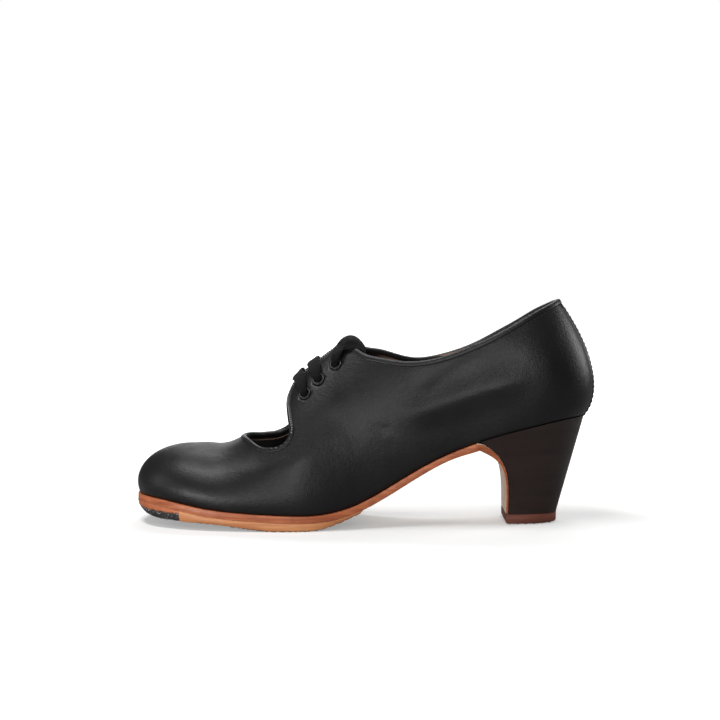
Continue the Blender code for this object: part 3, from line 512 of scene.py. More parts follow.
class Nodes:
    """Short way to write a material's nodes."""

    def __init__(self, name):
        self.material = bpy.data.materials.new(name)
        self.material.use_nodes = True
        self.tree = self.material.node_tree
        self.shader = self.tree.nodes["Principled BSDF"]
        self.place = self.add("ShaderNodeTexCoord").outputs["Object"]

    def add(self, kind, **values):
        node = self.tree.nodes.new(kind)
        for key, value in values.items():
            setattr(node, key, value)
        return node

    def join(self, source, target):
        self.tree.links.new(source, target)

    def stretched(self, scale):
        """The place with each axis scaled by itself."""
        mapping = self.add("ShaderNodeMapping")
        mapping.inputs["Scale"].default_value = scale
        self.join(self.place, mapping.inputs["Vector"])
        return mapping.outputs["Vector"]

    def noise(self, scale, detail=3.0, rough=0.5, vector=None):
        node = self.add("ShaderNodeTexNoise")
        node.inputs["Scale"].default_value = scale
        node.inputs["Detail"].default_value = detail
        node.inputs["Roughness"].default_value = rough
        self.join(vector or self.place, node.inputs["Vector"])
        return node.outputs["Fac"]

    def cells(self, scale):
        node = self.add("ShaderNodeTexVoronoi")
        node.inputs["Scale"].default_value = scale
        self.join(self.place, node.inputs["Vector"])
        return node.outputs["Distance"]

    def ramp(self, source, stops):
        """Colour or value stops, as (position, colour)."""
        node = self.add("ShaderNodeValToRGB")
        elements = node.color_ramp.elements
        while len(elements) < len(stops):
            elements.new(0.5)
        for element, (position, colour) in zip(elements, stops):
            element.position = position
            colour = (colour, colour, colour) if np.isscalar(colour) else colour
            element.color = (*colour, 1.0)
        self.join(source, node.inputs["Fac"])
        return node.outputs["Color"]

    def mix(self, factor, first, second):
        node = self.add("ShaderNodeMix", data_type="RGBA")
        for value, name in ((first, "A"), (second, "B")):
            slot = next(s for s in node.inputs if s.name == name and s.type == "RGBA")
            if isinstance(value, bpy.types.NodeSocket):
                self.join(value, slot)
            else:
                slot.default_value = (*value, 1.0)
        self.join(factor, node.inputs["Factor"])
        return next(s for s in node.outputs if s.type == "RGBA")

    def sum(self, first, second, operation="ADD"):
        node = self.add("ShaderNodeMath", operation=operation)
        for value, slot in ((first, node.inputs[0]), (second, node.inputs[1])):
            if isinstance(value, bpy.types.NodeSocket):
                self.join(value, slot)
            else:
                slot.default_value = value
        return node.outputs[0]

    def axis(self, name):
        node = self.add("ShaderNodeSeparateXYZ")
        self.join(self.place, node.inputs[0])
        return node.outputs[name]

    def colour(self, source):
        self.join(source, self.shader.inputs["Base Color"])

    def roughness(self, source, low, high):
        self.join(self.ramp(source, ((0.3, low), (0.7, high))), self.shader.inputs["Roughness"])

    def bump(self, source, distance, strength=1.0, after=None):
        node = self.add("ShaderNodeBump")
        node.inputs["Distance"].default_value = distance
        node.inputs["Strength"].default_value = strength
        self.join(source, node.inputs["Height"])
        if after is not None:
            self.join(after.outputs["Normal"], node.inputs["Normal"])
        self.join(node.outputs["Normal"], self.shader.inputs["Normal"])
        return node

    def values(self, **values):
        for key, value in values.items():
            self.shader.inputs[key.replace("_", " ")].default_value = value


def calf_material(name, gloss=0.0):
    """Black satin calf: a fine grain, faint uneven dye and a soft finish."""
    leather = Nodes(name)
    cloud = leather.noise(28, 4)
    dye = leather.ramp(cloud, ((0.35, (0.0085, 0.0085, 0.0092)), (0.65, (0.0125, 0.0122, 0.0125))))
    dust = leather.ramp(leather.noise(310, 5, 0.7), ((0.62, 0.0), (0.80, 1.0)))
    leather.colour(leather.mix(leather.sum(dust, 0.10, "MULTIPLY"), dye, (0.05, 0.048, 0.046)))
    leather.roughness(leather.noise(90, 5, 0.65), 0.34, 0.43)
    leather.values(Specular_IOR_Level=0.30, Coat_Weight=0.05 + gloss, Coat_Roughness=0.28, Coat_IOR=1.4)
    grain = leather.bump(leather.cells(1500), 0.00014, 0.45)
    pores = leather.bump(leather.noise(520, 4, 0.6), 0.00028, 0.45, grain)
    wrinkles = leather.noise(140, 3, 0.55, leather.stretched((1.0, 0.45, 0.8)))
    leather.bump(wrinkles, 0.0006, 0.22, pores)
    return leather.material


def lining_material():
    """Lining leather: tan at the back, and round the vamp painted near black as painted shade."""
    lining = Nodes("lining_leather")
    tone = lining.ramp(lining.noise(60, 4), ((0.35, (0.20, 0.115, 0.085)), (0.66, (0.36, 0.24, 0.20))))
    shade = lining.noise(90, 4)
    # Painted shade: round the vamp the lining takes a near-black tone, where the inside of the cut-out lies in
    # shadow.
    black = lining.ramp(shade, ((0.35, (0.008, 0.0075, 0.007)), (0.66, (0.014, 0.012, 0.011))))
    back = lining.ramp(lining.sum(lining.axis("X"), -0.006), ((0.0, 0.0), (0.008, 1.0)))
    lining.colour(lining.mix(back, black, tone))
    lining.roughness(lining.noise(200, 3), 0.62, 0.80)
    lining.values(Specular_IOR_Level=0.3, Sheen_Weight=0.10, Sheen_Roughness=0.5)
    fine = lining.bump(lining.cells(1200), 0.00012, 0.4)
    lining.bump(lining.noise(450, 4), 0.0002, 0.3, fine)
    return lining.material


def insole_material():
    """The insole's cover: tan leather, painted near black under the forefoot as painted shade."""
    insole = Nodes("insole_cover_leather")
    tone = insole.ramp(insole.noise(35, 5), ((0.3, (0.30, 0.17, 0.10)), (0.7, (0.42, 0.26, 0.16))))
    # Painted shade: the tone named worn darkens the forefoot, where the inside of the shoe lies in shadow.
    worn = insole.ramp(insole.noise(50, 4), ((0.35, (0.020, 0.013, 0.010)), (0.66, (0.035, 0.022, 0.016))))
    back = insole.ramp(insole.sum(insole.axis("X"), 0.030), ((0.0, 0.0), (0.03, 1.0)))
    insole.colour(insole.mix(back, worn, tone))
    insole.roughness(insole.noise(160, 3), 0.50, 0.70)
    fine = insole.bump(insole.cells(900), 0.00012, 0.3)
    insole.bump(insole.noise(320, 4), 0.0002, 0.3, fine)
    return insole.material


def sole_edge_material(name, light, dark):
    """The burnished edge of sole leather, with fine layers along it and a few dark rub marks."""
    leather = Nodes(name)
    layers = leather.noise(420, 5, 0.6, leather.stretched((0.10, 0.10, 1.6)))
    tone = leather.ramp(layers, ((0.32, dark), (0.68, light)))
    spots = leather.ramp(leather.noise(110, 6, 0.72), ((0.48, 0.0), (0.72, 1.0)))
    darkest = tuple(0.6 * value for value in dark)
    leather.colour(leather.mix(leather.sum(spots, 0.55, "MULTIPLY"), tone, darkest))
    leather.roughness(leather.noise(300, 4), 0.36, 0.55)
    leather.values(Specular_IOR_Level=0.4, Coat_Weight=0.08, Coat_Roughness=0.25)
    fibres = leather.bump(layers, 0.00018, 0.45)
    leather.bump(leather.noise(900, 4, 0.6), 0.00010, 0.35, fibres)
    return leather.material


def sole_face_material(name, pale, worn, scuff):
    """The flat face of sole leather: pale, with worn patches and dark scuffs."""
    leather = Nodes(name)
    patches = leather.noise(48, 6, 0.68)
    tone = leather.ramp(patches, ((0.36, worn), (0.58, pale)))
    marks = leather.noise(230, 5, 0.75, leather.stretched((0.6, 1.0, 0.6)))
    marks = leather.ramp(marks, ((0.56, 0.0), (0.70, 1.0)))
    leather.colour(leather.mix(leather.sum(marks, 0.6, "MULTIPLY"), tone, scuff))
    leather.roughness(leather.noise(260, 4), 0.55, 0.78)
    leather.values(Specular_IOR_Level=0.3)
    nap = leather.bump(leather.noise(800, 5, 0.7), 0.00020, 0.5)
    leather.bump(marks, 0.00020, 0.4, nap)
    return leather.material


def nailed_edge_material(name, light, dark, toe_light, toe_dark):
    """The half sole's edge, blackened towards the nails under the toe, with painted highlights for the nails'
    glints in the black.
    """
    leather = Nodes(name)
    layers = leather.noise(420, 5, 0.6, leather.stretched((0.10, 0.10, 1.6)))
    tone = leather.ramp(layers, ((0.32, dark), (0.68, light)))
    toe_tone = leather.ramp(layers, ((0.32, toe_dark), (0.68, toe_light)))
    along = leather.axis("X")
    ragged = leather.sum(leather.sum(leather.noise(520, 4, 0.7), -0.5), 0.0030, "MULTIPLY")
    reach = leather.sum(leather.sum(along, ragged), ORIGIN[0] - TOE_NAILS_LENGTH)
    ahead = leather.ramp(leather.sum(reach, -1000.0, "MULTIPLY"), ((0.0, 0.0), (0.5, 1.0)))
    line = leather.sum(leather.sum(along, ORIGIN[0]), -BLACKENED_FALL, "MULTIPLY")
    line = leather.sum(line, BLACKENED_TOP)
    height = leather.sum(leather.sum(leather.axis("Z"), ragged), line, "SUBTRACT")
    below = leather.ramp(leather.sum(height, -900.0, "MULTIPLY"), ((0.0, 0.0), (0.9, 1.0)))
    soot_with_painted_glints = leather.noise(700, 5, 0.75)
    soot_with_painted_glints = leather.ramp(soot_with_painted_glints, ((0.40, (0.010, 0.010, 0.011)), (0.62, (0.06, 0.055, 0.055))))
    # Painted highlights: small bright spots in the blackened zone stand in for the glints of the nails.
    painted_glints = leather.ramp(leather.cells(560), ((0.10, 1.0), (0.22, 0.0)))
    soot_with_painted_glints = leather.mix(painted_glints, soot_with_painted_glints, (0.45, 0.45, 0.47))
    leather.colour(leather.mix(ahead, tone, leather.mix(below, toe_tone, soot_with_painted_glints)))
    leather.roughness(leather.noise(300, 4), 0.36, 0.55)
    leather.values(Specular_IOR_Level=0.4)
    fibres = leather.bump(layers, 0.00018, 0.45)
    leather.bump(leather.noise(900, 4, 0.6), 0.00012, 0.5, fibres)
    return leather.material


def wood_material():
    """Dark stained wood with a faint straight grain."""
    wood = Nodes("dark_heel_wood")
    grain = wood.noise(190, 6, 0.62, wood.stretched((0.10, 0.10, 1.0)))
    broad = wood.noise(22, 3, 0.5, wood.stretched((0.5, 0.5, 1.0)))
    tone = wood.ramp(grain, ((0.34, (0.0105, 0.0068, 0.0060)), (0.66, (0.026, 0.0150, 0.0115))))
    reddish = wood.ramp(broad, ((0.42, 0.0), (0.66, 1.0)))
    wood.colour(wood.mix(wood.sum(reddish, 0.45, "MULTIPLY"), tone, (0.034, 0.0125, 0.0085)))
    wood.roughness(wood.noise(240, 4), 0.34, 0.48)
    wood.values(Specular_IOR_Level=0.42, Coat_Weight=0.12, Coat_Roughness=0.22)
    fine = wood.bump(grain, 0.00012, 0.35)
    wood.bump(wood.noise(700, 3), 0.00006, 0.25, fine)
    return wood.material


def lift_material():
    lift = Nodes("heel_lift_leather")
    layers = lift.noise(360, 5, 0.6, lift.stretched((0.12, 0.12, 1.5)))
    tone = lift.ramp(layers, ((0.32, (0.13, 0.038, 0.024)), (0.70, (0.27, 0.085, 0.050))))
    scuffs = lift.ramp(lift.noise(140, 6, 0.75), ((0.56, 0.0), (0.76, 1.0)))
    lift.colour(lift.mix(lift.sum(scuffs, 0.4, "MULTIPLY"), tone, (0.36, 0.17, 0.11)))
    lift.roughness(lift.noise(300, 4), 0.42, 0.60)
    lift.bump(layers, 0.00018, 0.5)
    return lift.material


def enamel_material():
    enamel = Nodes("black_eyelet_enamel")
    cloud = enamel.noise(700, 4)
    enamel.colour(enamel.ramp(cloud, ((0.4, (0.006, 0.006, 0.007)), (0.7, (0.012, 0.012, 0.013)))))
    enamel.roughness(enamel.noise(500, 3), 0.30, 0.42)
    enamel.values(Specular_IOR_Level=0.4, Coat_Weight=0.06, Coat_Roughness=0.2)
    enamel.bump(enamel.noise(900, 3), 0.00003, 0.3)
    return enamel.material


def steel_material(name, tone, worn):
    steel = Nodes(name)
    steel.colour(steel.ramp(steel.noise(420, 5, 0.7), ((0.36, worn), (0.62, tone))))
    steel.roughness(steel.noise(800, 4), 0.28, 0.50)
    steel.values(Metallic=0.6)
    steel.bump(steel.noise(1300, 4), 0.00008, 0.4)
    return steel.material


def dirt_material():
    """The blackened leather between the nails."""
    dirt = Nodes("blackened_leather")
    cloud = dirt.noise(320, 6, 0.75)
    dirt.colour(dirt.ramp(cloud, ((0.34, (0.012, 0.011, 0.011)), (0.70, (0.075, 0.062, 0.054)))))
    dirt.roughness(dirt.noise(500, 4), 0.55, 0.80)
    dirt.bump(dirt.noise(700, 5, 0.7), 0.0003, 0.7)
    return dirt.material


def lace_material():
    """Black cotton ribbon: fine ribs across and along, from its own coordinates."""
    lace = Nodes("black_cotton_lace")
    uv = lace.add("ShaderNodeUVMap", uv_map="weave").outputs["UV"]
    cloud = lace.noise(900, 4)
    lace.colour(lace.ramp(cloud, ((0.35, (0.004, 0.004, 0.0042)), (0.7, (0.008, 0.0078, 0.0077)))))
    lace.roughness(lace.noise(600, 3), 0.78, 0.92)
    lace.values(Specular_IOR_Level=0.16, Sheen_Weight=0.12, Sheen_Roughness=0.45)
    lace.values(Sheen_Tint=(0.5, 0.5, 0.5, 1.0))
    waves = []
    for direction, scale in (("X", 1.15), ("Y", 0.85)):
        wave = lace.add("ShaderNodeTexWave", bands_direction=direction)
        wave.inputs["Scale"].default_value = scale
        wave.inputs["Distortion"].default_value = 0.25
        lace.join(uv, wave.inputs["Vector"])
        waves.append(wave.outputs["Fac"])
    ribs = lace.bump(lace.sum(*waves, "MULTIPLY"), 0.00018, 0.8)
    lace.bump(lace.noise(1500, 3), 0.00008, 0.4, ribs)
    return lace.material


def thread_material(name, tone):
    thread = Nodes(name)
    darker = tuple(0.7 * value for value in tone)
    thread.colour(thread.ramp(thread.noise(1500, 3), ((0.4, darker), (0.6, tone))))
    thread.roughness(thread.noise(900, 2), 0.55, 0.75)
    thread.bump(thread.noise(2500, 2), 0.00005, 0.5)
    return thread.material


def floor_material():
    """Pale matt floor that throws little light back. To the camera it glows as painted light: faintly near the
    shoe and pure white further out.
    """
    floor = Nodes("pale_floor")
    seen = floor.add("ShaderNodeLightPath").outputs["Is Camera Ray"]
    cloud = floor.noise(3, 2)
    pale = floor.ramp(cloud, ((0.3, (0.84, 0.84, 0.835)), (0.7, (0.87, 0.87, 0.865))))
    dim = floor.ramp(cloud, ((0.3, (0.24, 0.24, 0.24)), (0.7, (0.27, 0.27, 0.27))))
    floor.colour(floor.mix(seen, dim, pale))
    away = floor.add("ShaderNodeVectorMath", operation="LENGTH")
    floor.join(floor.place, away.inputs[0])
    # Painted light: the floor's glow to the camera, weak near the shoe and full further away.
    glow = floor.ramp(away.outputs["Value"], ((0.17, 0.30), (0.60, 1.0)))
    floor.join(floor.sum(glow, seen, "MULTIPLY"), floor.shader.inputs["Emission Strength"])
    floor.values(Roughness=0.9, Specular_IOR_Level=0.0, Emission_Color=(1.0, 1.0, 1.0, 1.0))
    return floor.material


# Making pieces


def finish_piece(obj, slot, *nodes):
    """Every piece rides on the shoe and may stand for solids, which it hides."""
    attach(obj, "root")
    if nodes:
        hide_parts(*nodes)
    return obj


def mesh_piece(name, points, faces, materials, sharp=0.8):
    mesh = bpy.data.meshes.new(name)
    placed = np.asarray(points, float) - ORIGIN
    mesh.from_pydata(placed.tolist(), [], [tuple(map(int, face)) for face in faces])
    for made in materials:
        mesh.materials.append(made)
    edit = bmesh.new()
    edit.from_mesh(mesh)
    bmesh.ops.remove_doubles(edit, verts=edit.verts, dist=MERGE)
    bmesh.ops.recalc_face_normals(edit, faces=edit.faces)
    edit.to_mesh(mesh)
    edit.free()
    mesh.shade_smooth()
    mesh.set_sharp_from_angle(angle=sharp)
    obj = bpy.data.objects.new(name, mesh)
    bpy.context.scene.collection.objects.link(obj)
    return obj


def tube_faces(first, count, sides):
    """Faces that join rings of points, numbered on from first, one to the next."""
    faces = []
    for i in range(count - 1):
        for j in range(sides):
            a, b = first + i * sides + j, first + i * sides + (j + 1) % sides
            faces.append((a, b, b + sides, a + sides))
    return faces


def loft(name, rings, materials, caps=True, sharp=0.8):
    """Closed rings of equal count, joined one to the next."""
    rings = np.array(rings, float)
    count, sides = rings.shape[:2]
    faces = tube_faces(0, count, sides)
    if caps:
        faces.append(tuple(range(sides)))
        faces.append(tuple(range((count - 1) * sides, count * sides)))
    return mesh_piece(name, rings.reshape(-1, 3), faces, materials, sharp)


def edge_curve():
    """Places close together along the opening's edge, from the back round the outer side and on."""
    outer = [(round_place(foot * SHOE_LENGTH), -reach) for foot, reach, _ in OPENING]
    inner = [(round_place(foot * SHOE_LENGTH), reach) for foot, _, reach in OPENING]
    outer.append((2 * ROUND - outer[-2][0], outer[-2][1]))
    inner.append((2 * ROUND - inner[-2][0], inner[-2][1]))
    knots = np.array(outer[::-1] + inner[1:])
    places = run_along(knots * (1, GIRTH))
    fine = np.linspace(places[1], places[-2], EDGE_SAMPLES)
    curve = spline_values(places, knots, natural_spline(places, knots), fine)
    curve[[0, -1], 0] = ROUND
    return curve


def spread(places, step):
    points = last_points(places[:, 0], places[:, 1])
    lengths = run_along(points)
    wanted = np.linspace(0.0, lengths[-1], round(lengths[-1] / step) + 1)
    return np.array([np.interp(wanted, lengths, column) for column in places.T]).T


def into_leather(places):
    """Unit directions along the last, from the opening's edge into the leather."""
    points = last_points(places[:, 0], places[:, 1])
    tangents = np.gradient(points, axis=0)
    return unit(np.cross(outwards(places[:, 0], places[:, 1]), unit(tangents)))


def inset_places(edge, distance):
    return moved_on_last(edge, into_leather(edge), distance)


def eyelet_places():
    for number, (foot, reach) in enumerate(EYELETS, 1):
        for side, name in ((-1, "outer"), (1, "inner")):
            yield f"eyelet_{name}_{number}", round_place(foot * SHOE_LENGTH), side * reach


def hole_loop(u, v, radius, sides):
    along, _ = slopes(u, v)
    first = unit(along)[0]
    second = np.cross(outwards(u, v)[0], first)
    turns = np.linspace(0, 2 * math.pi, sides, endpoint=False)
    directions = np.outer(np.cos(turns), first) + np.outer(np.sin(turns), second)
    return moved_on_last(np.tile((u, v), (sides, 1)), directions, radius)


def inside(places, loop):
    """Which places lie inside a closed loop of places."""
    ends = np.roll(loop, -1, axis=0)
    found = np.zeros(len(places), bool)
    for first in range(0, len(places), 2000):
        x = places[first : first + 2000, 0][:, None]
        y = places[first : first + 2000, 1][:, None]
        crosses = (loop[:, 1] > y) != (ends[:, 1] > y)
        rise = np.where(ends[:, 1] == loop[:, 1], 1.0, ends[:, 1] - loop[:, 1])
        at = loop[:, 0] + (y - loop[:, 1]) / rise * (ends[:, 0] - loop[:, 0])
        found[first : first + 2000] = (crosses & (at > x)).sum(1) % 2 == 1
    return found


def skin_outline(edge):
    feather = np.linspace(0.0, ROUND, round(ROUND / SKIN_STEP) + 1)
    back = np.linspace(-1.0, edge[0][1], round((1 + edge[0][1]) * GIRTH / SKIN_STEP) + 1)[1:-1]
    toe = np.linspace(1.0, -1.0, round(GIRTH / SKIN_STEP) * 2 + 1)[1:-1]
    loop = [(u, -1.0) for u in feather] + [(ROUND, v) for v in back] + [tuple(place) for place in edge]
    loop += [(ROUND, -v) for v in back[::-1]] + [(u, 1.0) for u in feather[::-1]]
    return np.array(loop + [(0.0, v) for v in toe])


def skin_pattern(edge):
    """Places and triangles of the upper, laid flat."""
    outline = skin_outline(edge)
    holes = [hole_loop(u, v, EYELET_HOLE / 2 + EYELET_TUBE_WALL, 24) for _, u, v in eyelet_places()]
    places = [tuple(place) for place in outline]
    links = [(i, (i + 1) % len(outline)) for i in range(len(outline))]
    for hole in holes:
        first = len(places)
        places += [tuple(place) for place in hole]
        links += [(first + i, first + (i + 1) % len(hole)) for i in range(len(hole))]
    for half in (BACK_STRIP_WIDTH / 2 - STEP_WIDTH, BACK_STRIP_WIDTH / 2 + STEP_WIDTH):
        for side in (-1, 1):
            places += [(ROUND - half, v) for v in np.linspace(side, side * BACK_STRIP_REACH, 60)]
    tree = KDTree(len(places))
    for i, point in enumerate(last_points(*np.array(places).T)):
        tree.insert(point, i)
    tree.balance()
    rows = round(ROUND / SKIN_STEP)
    columns = round(2 * GIRTH / SKIN_STEP)
    grid = [(i * ROUND / rows, -1 + 2 * j / columns) for i in range(1, rows) for j in range(1, columns)]
    grid = np.array(grid)
    grid = grid[inside(grid, outline)]
    for place, point in zip(grid, last_points(*grid.T)):
        if tree.find(point)[2] > CLEAR_SHARE * SKIN_STEP:
            places.append(tuple(place))
    flat = [Vector((u, v * GIRTH)) for u, v in places]
    corners, _, triangles, _, _, _ = delaunay_2d_cdt(flat, links, [], 0, FLAT_MERGE)
    found = np.array([(corner.x, corner.y / GIRTH) for corner in corners])
    triangles = np.array(triangles)
    middles = found[triangles].mean(axis=1)
    kept = inside(middles, outline)
    for hole in holes:
        kept &= ~inside(middles, hole)
    return found, triangles[kept]


def line_offsets(spots, line):
    """For each spot, how far it lies from a line of points and at what share of the line's run."""
    line = np.array(line) * (SHOE_LENGTH, INSTEP_HEIGHT)
    runs = np.diff(line, axis=0)
    lengths = np.linalg.norm(runs, axis=1)
    before = np.concatenate([[0.0], np.cumsum(lengths)])
    nearest = np.full(len(spots), np.inf)
    share = np.zeros(len(spots))
    for i, (run, length) in enumerate(zip(runs, lengths)):
        at = np.clip(((spots - line[i]) @ run) / length**2, 0.0, 1.0)
        away = np.linalg.norm(spots - line[i] - at[:, None] * run, axis=1)
        closer = away < nearest
        nearest[closer] = away[closer]
        share[closer] = (before[i] + at[closer] * length) / before[-1]
    return nearest, share


def relief(places, points):
    """How far the leather swells or sinks here: the listed folds and the strip up the back."""
    rise = np.zeros(len(points))
    for side, width, depth, line in FOLDS:
        away, share = line_offsets(points[:, [0, 2]], line)
        ends = np.clip(np.minimum(share, 1 - share) * FOLD_FADE + FOLD_LEAST, 0.0, 1.0)
        fade = ends * ends * (3 - 2 * ends)
        here = np.clip(places[:, 1] * side * CREST_FADE - CREST_CLEAR, 0.0, 1.0)
        rise -= depth * np.exp(-((away / width) ** FOLD_SHARPNESS)) * fade * here
    inwards = BACK_STRIP_WIDTH / 2 + STRIP_EDGE - (ROUND - places[:, 0])
    strip = np.clip(inwards / STRIP_SLOPE, 0.0, 1.0)
    return rise + BACK_STRIP_RISE * strip


def upper_skin(materials, edge):
    """The calf with its lining: one sheet round the last, as thick as the wall."""
    places, triangles = skin_pattern(edge)
    points = last_points(*places.T)
    rises = relief(places, points)
    skin = mesh_piece("upper_skin", over_last(places[:, 0], places[:, 1], rises), triangles, materials)
    wall = skin.modifiers.new("wall", "SOLIDIFY")
    wall.thickness = WALL
    wall.offset = -1.0
    wall.material_offset = 1
    wall.material_offset_rim = 1
    return finish_piece(skin, "black_calf", "upper")


# The binding's section: distance from the edge into the leather, and height over it, in metres
BINDING_SECTION = (
    (0.00250, -0.00005),
    (0.00240, 0.00020),
    (0.00210, 0.00036),
    (0.00160, 0.00046),
    (0.00100, 0.00052),
    (0.00040, 0.00048),
    (-0.00012, 0.00026),
    (-0.00044, -0.00026),
    (-0.00050, -0.00105),
    (-0.00040, -0.00190),
    (-0.00008, -0.00238),
    (0.00060, -0.00260),
    (0.00150, -0.00260),
    (0.00220, -0.00245),
    (0.00230, -0.00215),
    (0.00100, -0.00120),
)
PLEAT_PITCH = 0.0026
PLEAT_HEIGHT = 0.00034

# The pleats' height wanders over these lengths. They begin where the edge turns by PLEATS_FROM radians a
# metre and have their full height after PLEATS_FULL more.
SLOW_WANDER = 0.0171
QUICK_WANDER = 0.0047
PLEATS_FROM = 45
PLEATS_FULL = 60


def binding(material, edge):
    """The strip folded over the edge of the opening, pleated where it turns tightly."""
    places = spread(edge, 0.0006)
    points = last_points(*places.T)
    normals = outwards(*places.T)
    into = into_leather(places)
    step = np.linalg.norm(np.gradient(points, axis=0), axis=1)
    tangents = unit(np.gradient(points, axis=0))
    turn = np.linalg.norm(np.gradient(tangents, axis=0), axis=1) / step
    turn = np.convolve(turn, np.ones(15) / 15, mode="same")
    tight = np.clip((turn - PLEATS_FROM) / PLEATS_FULL, 0.0, 1.0)
    run = np.cumsum(step)
    wander = 1 + 0.5 * np.sin(run / SLOW_WANDER) + 0.3 * np.sin(run / QUICK_WANDER)
    ridges = np.maximum(0.0, np.sin(run / PLEAT_PITCH * 2 * math.pi)) ** 3
    pleat = tight * wander * ridges * PLEAT_HEIGHT
    creep = relief(places, points)
    rings = []
    for distance, height in BINDING_SECTION:
        if distance > 0:
            moved = moved_on_last(places, into, distance)
            base = last_points(*moved.T)
            up = outwards(*moved.T)
        else:
            base = points + into * distance
            up = normals
        out = pleat * (height > 0.0002) + creep * (height > -0.0001)
        rings.append(base + up * np.reshape(height + out, (-1, 1)))
    made = loft("binding", np.array(rings).transpose(1, 0, 2), [material], sharp=1.2)
    return finish_piece(made, "black_calf")


# The lining's cut edge: where along the shoe it ends, how far inside the opening it lies, and its size
LINING_EDGE_TO = 0.47
LINING_EDGE_INSET = 0.0036
LINING_EDGE_WIDTH = 0.0007
LINING_EDGE_THICKNESS = 0.0004


def lining_edge(material, edge):
    """The cut edge of the lining, a thin pale line inside the cut-out and along the lacing slit."""
    front = edge[edge[:, 0] < round_place(LINING_EDGE_TO * SHOE_LENGTH)]
    places = spread(inset_places(front, LINING_EDGE_INSET), 0.0012)
    path = over_last(places[:, 0], places[:, 1], np.full(len(places), -WALL - 0.0002))
    across = into_leather(places)
    widths = np.full(len(path), LINING_EDGE_WIDTH)
    made = ribbon("lining_edge", path, widths, across, material, LINING_EDGE_THICKNESS)
    return finish_piece(made, "tan_lining")


def capsules(name, starts, ends, ups, radius, material, sides=6):
    """Stitches: short round threads that dip at both ends."""
    points, faces = [], []
    shape = ((0.0, 0.35, -0.9), (0.12, 0.9, -0.2), (0.5, 1.0, 0.15), (0.88, 0.9, -0.2), (1.0, 0.35, -0.9))
    for start, end, up in zip(starts, ends, ups):
        along = (end - start) / np.linalg.norm(end - start)
        across = np.cross(up, along)
        first = len(points)
        for share, swell, lift in shape:
            middle = start + (end - start) * share + up * lift * radius
            for j in range(sides):
                turn = 2 * math.pi * j / sides
                points.append(middle + (across * math.cos(turn) + up * math.sin(turn)) * radius * swell)
        faces += tube_faces(first, len(shape), sides)
        faces.append(tuple(range(first, first + sides)))
        faces.append(tuple(range(first + (len(shape) - 1) * sides, first + len(shape) * sides)))
    return mesh_piece(name, points, faces, [material], sharp=1.4)


def stitch_row(name, places, height, pitch, length, radius, material):
    """A row of stitches along a line of places."""
    row = spread(places, pitch)
    tangents = unit(np.gradient(last_points(*row.T), axis=0))
    ups = outwards(*row.T)
    points = over_last(row[:, 0], row[:, 1], height + relief(row, last_points(*row.T)))
    half = tangents * length / 2
    return finish_piece(capsules(name, points - half, points + half, ups, radius, material), "black_calf")


# Profiles of the sole layers' sides, top to bottom: inset in metres and share of the thickness
SIDE_PROFILE = (
    (0.00300, 0.00),
    (0.00045, 0.00),
    (0.00012, 0.05),
    (0.00000, 0.16),
    (0.00000, 0.84),
    (0.00012, 0.94),
    (0.00050, 1.00),
    (0.00300, 1.00),
)
HALF_SOLE_PROFILE = (
    (0.00300, 0.00),
    (0.00020, 0.00),
    (0.00006, 0.05),
    (-0.00012, 0.14),
    (-0.00008, 0.80),
    (0.00004, 0.90),
    (0.00030, 1.00),
    (0.00300, 1.00),
)
TOE_CHAMFER = 0.0007
EDGE_WEAR = 0.0004

# The dirt on the half sole's lower edge: how high it goes, and where along the shoe
DIRT_HEIGHT = 0.00045
DIRT_FROM = 0.034
DIRT_TO = 0.100


def sole_rings(places, top, thickness, profile=SIDE_PROFILE):
    """Rings round a sole layer, outer side down and inner side up; top and thickness go by the place."""
    rings = []
    for side, rows in ((-1, profile), (1, profile[::-1])):
        for inset, share in rows:
            inset = np.minimum(inset, places * 0.45)
            plan = feather_plan(places, side, SOLE_OVERHANG - inset)
            x = plan[:, 0]
            normal = feather_normals(x)
            drop = top(x) + thickness(x) * share
            height = feather_height(x)
            rings.append(np.stack([x + normal[:, 0] * drop, plan[:, 1], height + normal[:, 1] * drop], 1))
    return np.array(rings).transpose(1, 0, 2)


def feather_normals(along):
    """In side view, the directions down from the feather line."""
    rise = feather_height(along + NUDGE_U) - feather_height(along - NUDGE_U)
    run = np.full_like(rise, 2 * NUDGE_U)
    length = np.hypot(run, rise)
    return np.stack([rise / length, -run / length], 1)


def outsole_thickness(along):
    rows = np.array(WAIST)
    return OUTSOLE_THICKNESS * np.interp(np.asarray(along) / SHOE_LENGTH, rows[:, 0], rows[:, 1])


def ground_height(along):
    rows = np.array(GROUND)
    knots = rows[:, 0] * SHOE_LENGTH
    spring = np.interp(along, knots, rows[:, 1])
    rise = np.interp(along, knots, rows[:, 2])
    return TOE_SPRING * spring + HEEL_RISE * rise


def rung_places(start, stop, count, crowd=1.3):
    return start + (stop - start) * np.linspace(0, 1, count) ** crowd


def seat_outline(side, count):
    places = np.linspace(round_place(BREAST_TOP * SHOE_LENGTH), ROUND, 300)
    plan = feather_plan(places, side, SEAT_OVERHANG)
    return evenly(np.column_stack([plan, feather_height(plan[:, 0]) - SEAT_GAP]), count)


def heel_outline(side, front, inset, height, count):
    length = HEEL_BACK - front - 2 * inset
    turns = np.linspace(0.0, math.pi / 2, 300)
    x = front + inset + length * np.sin(turns) ** HEEL_ROUNDING
    y = side * (HEEL_HALF_WIDTH - inset) * np.cos(turns) ** HEEL_ROUNDING
    return evenly(np.column_stack([x, y, np.full_like(x, height)]), count)


def round_both(outer, inner):
    """One ring from the outline of the outer side and that of the inner one."""
    return np.concatenate([outer, inner[:-1][::-1]])


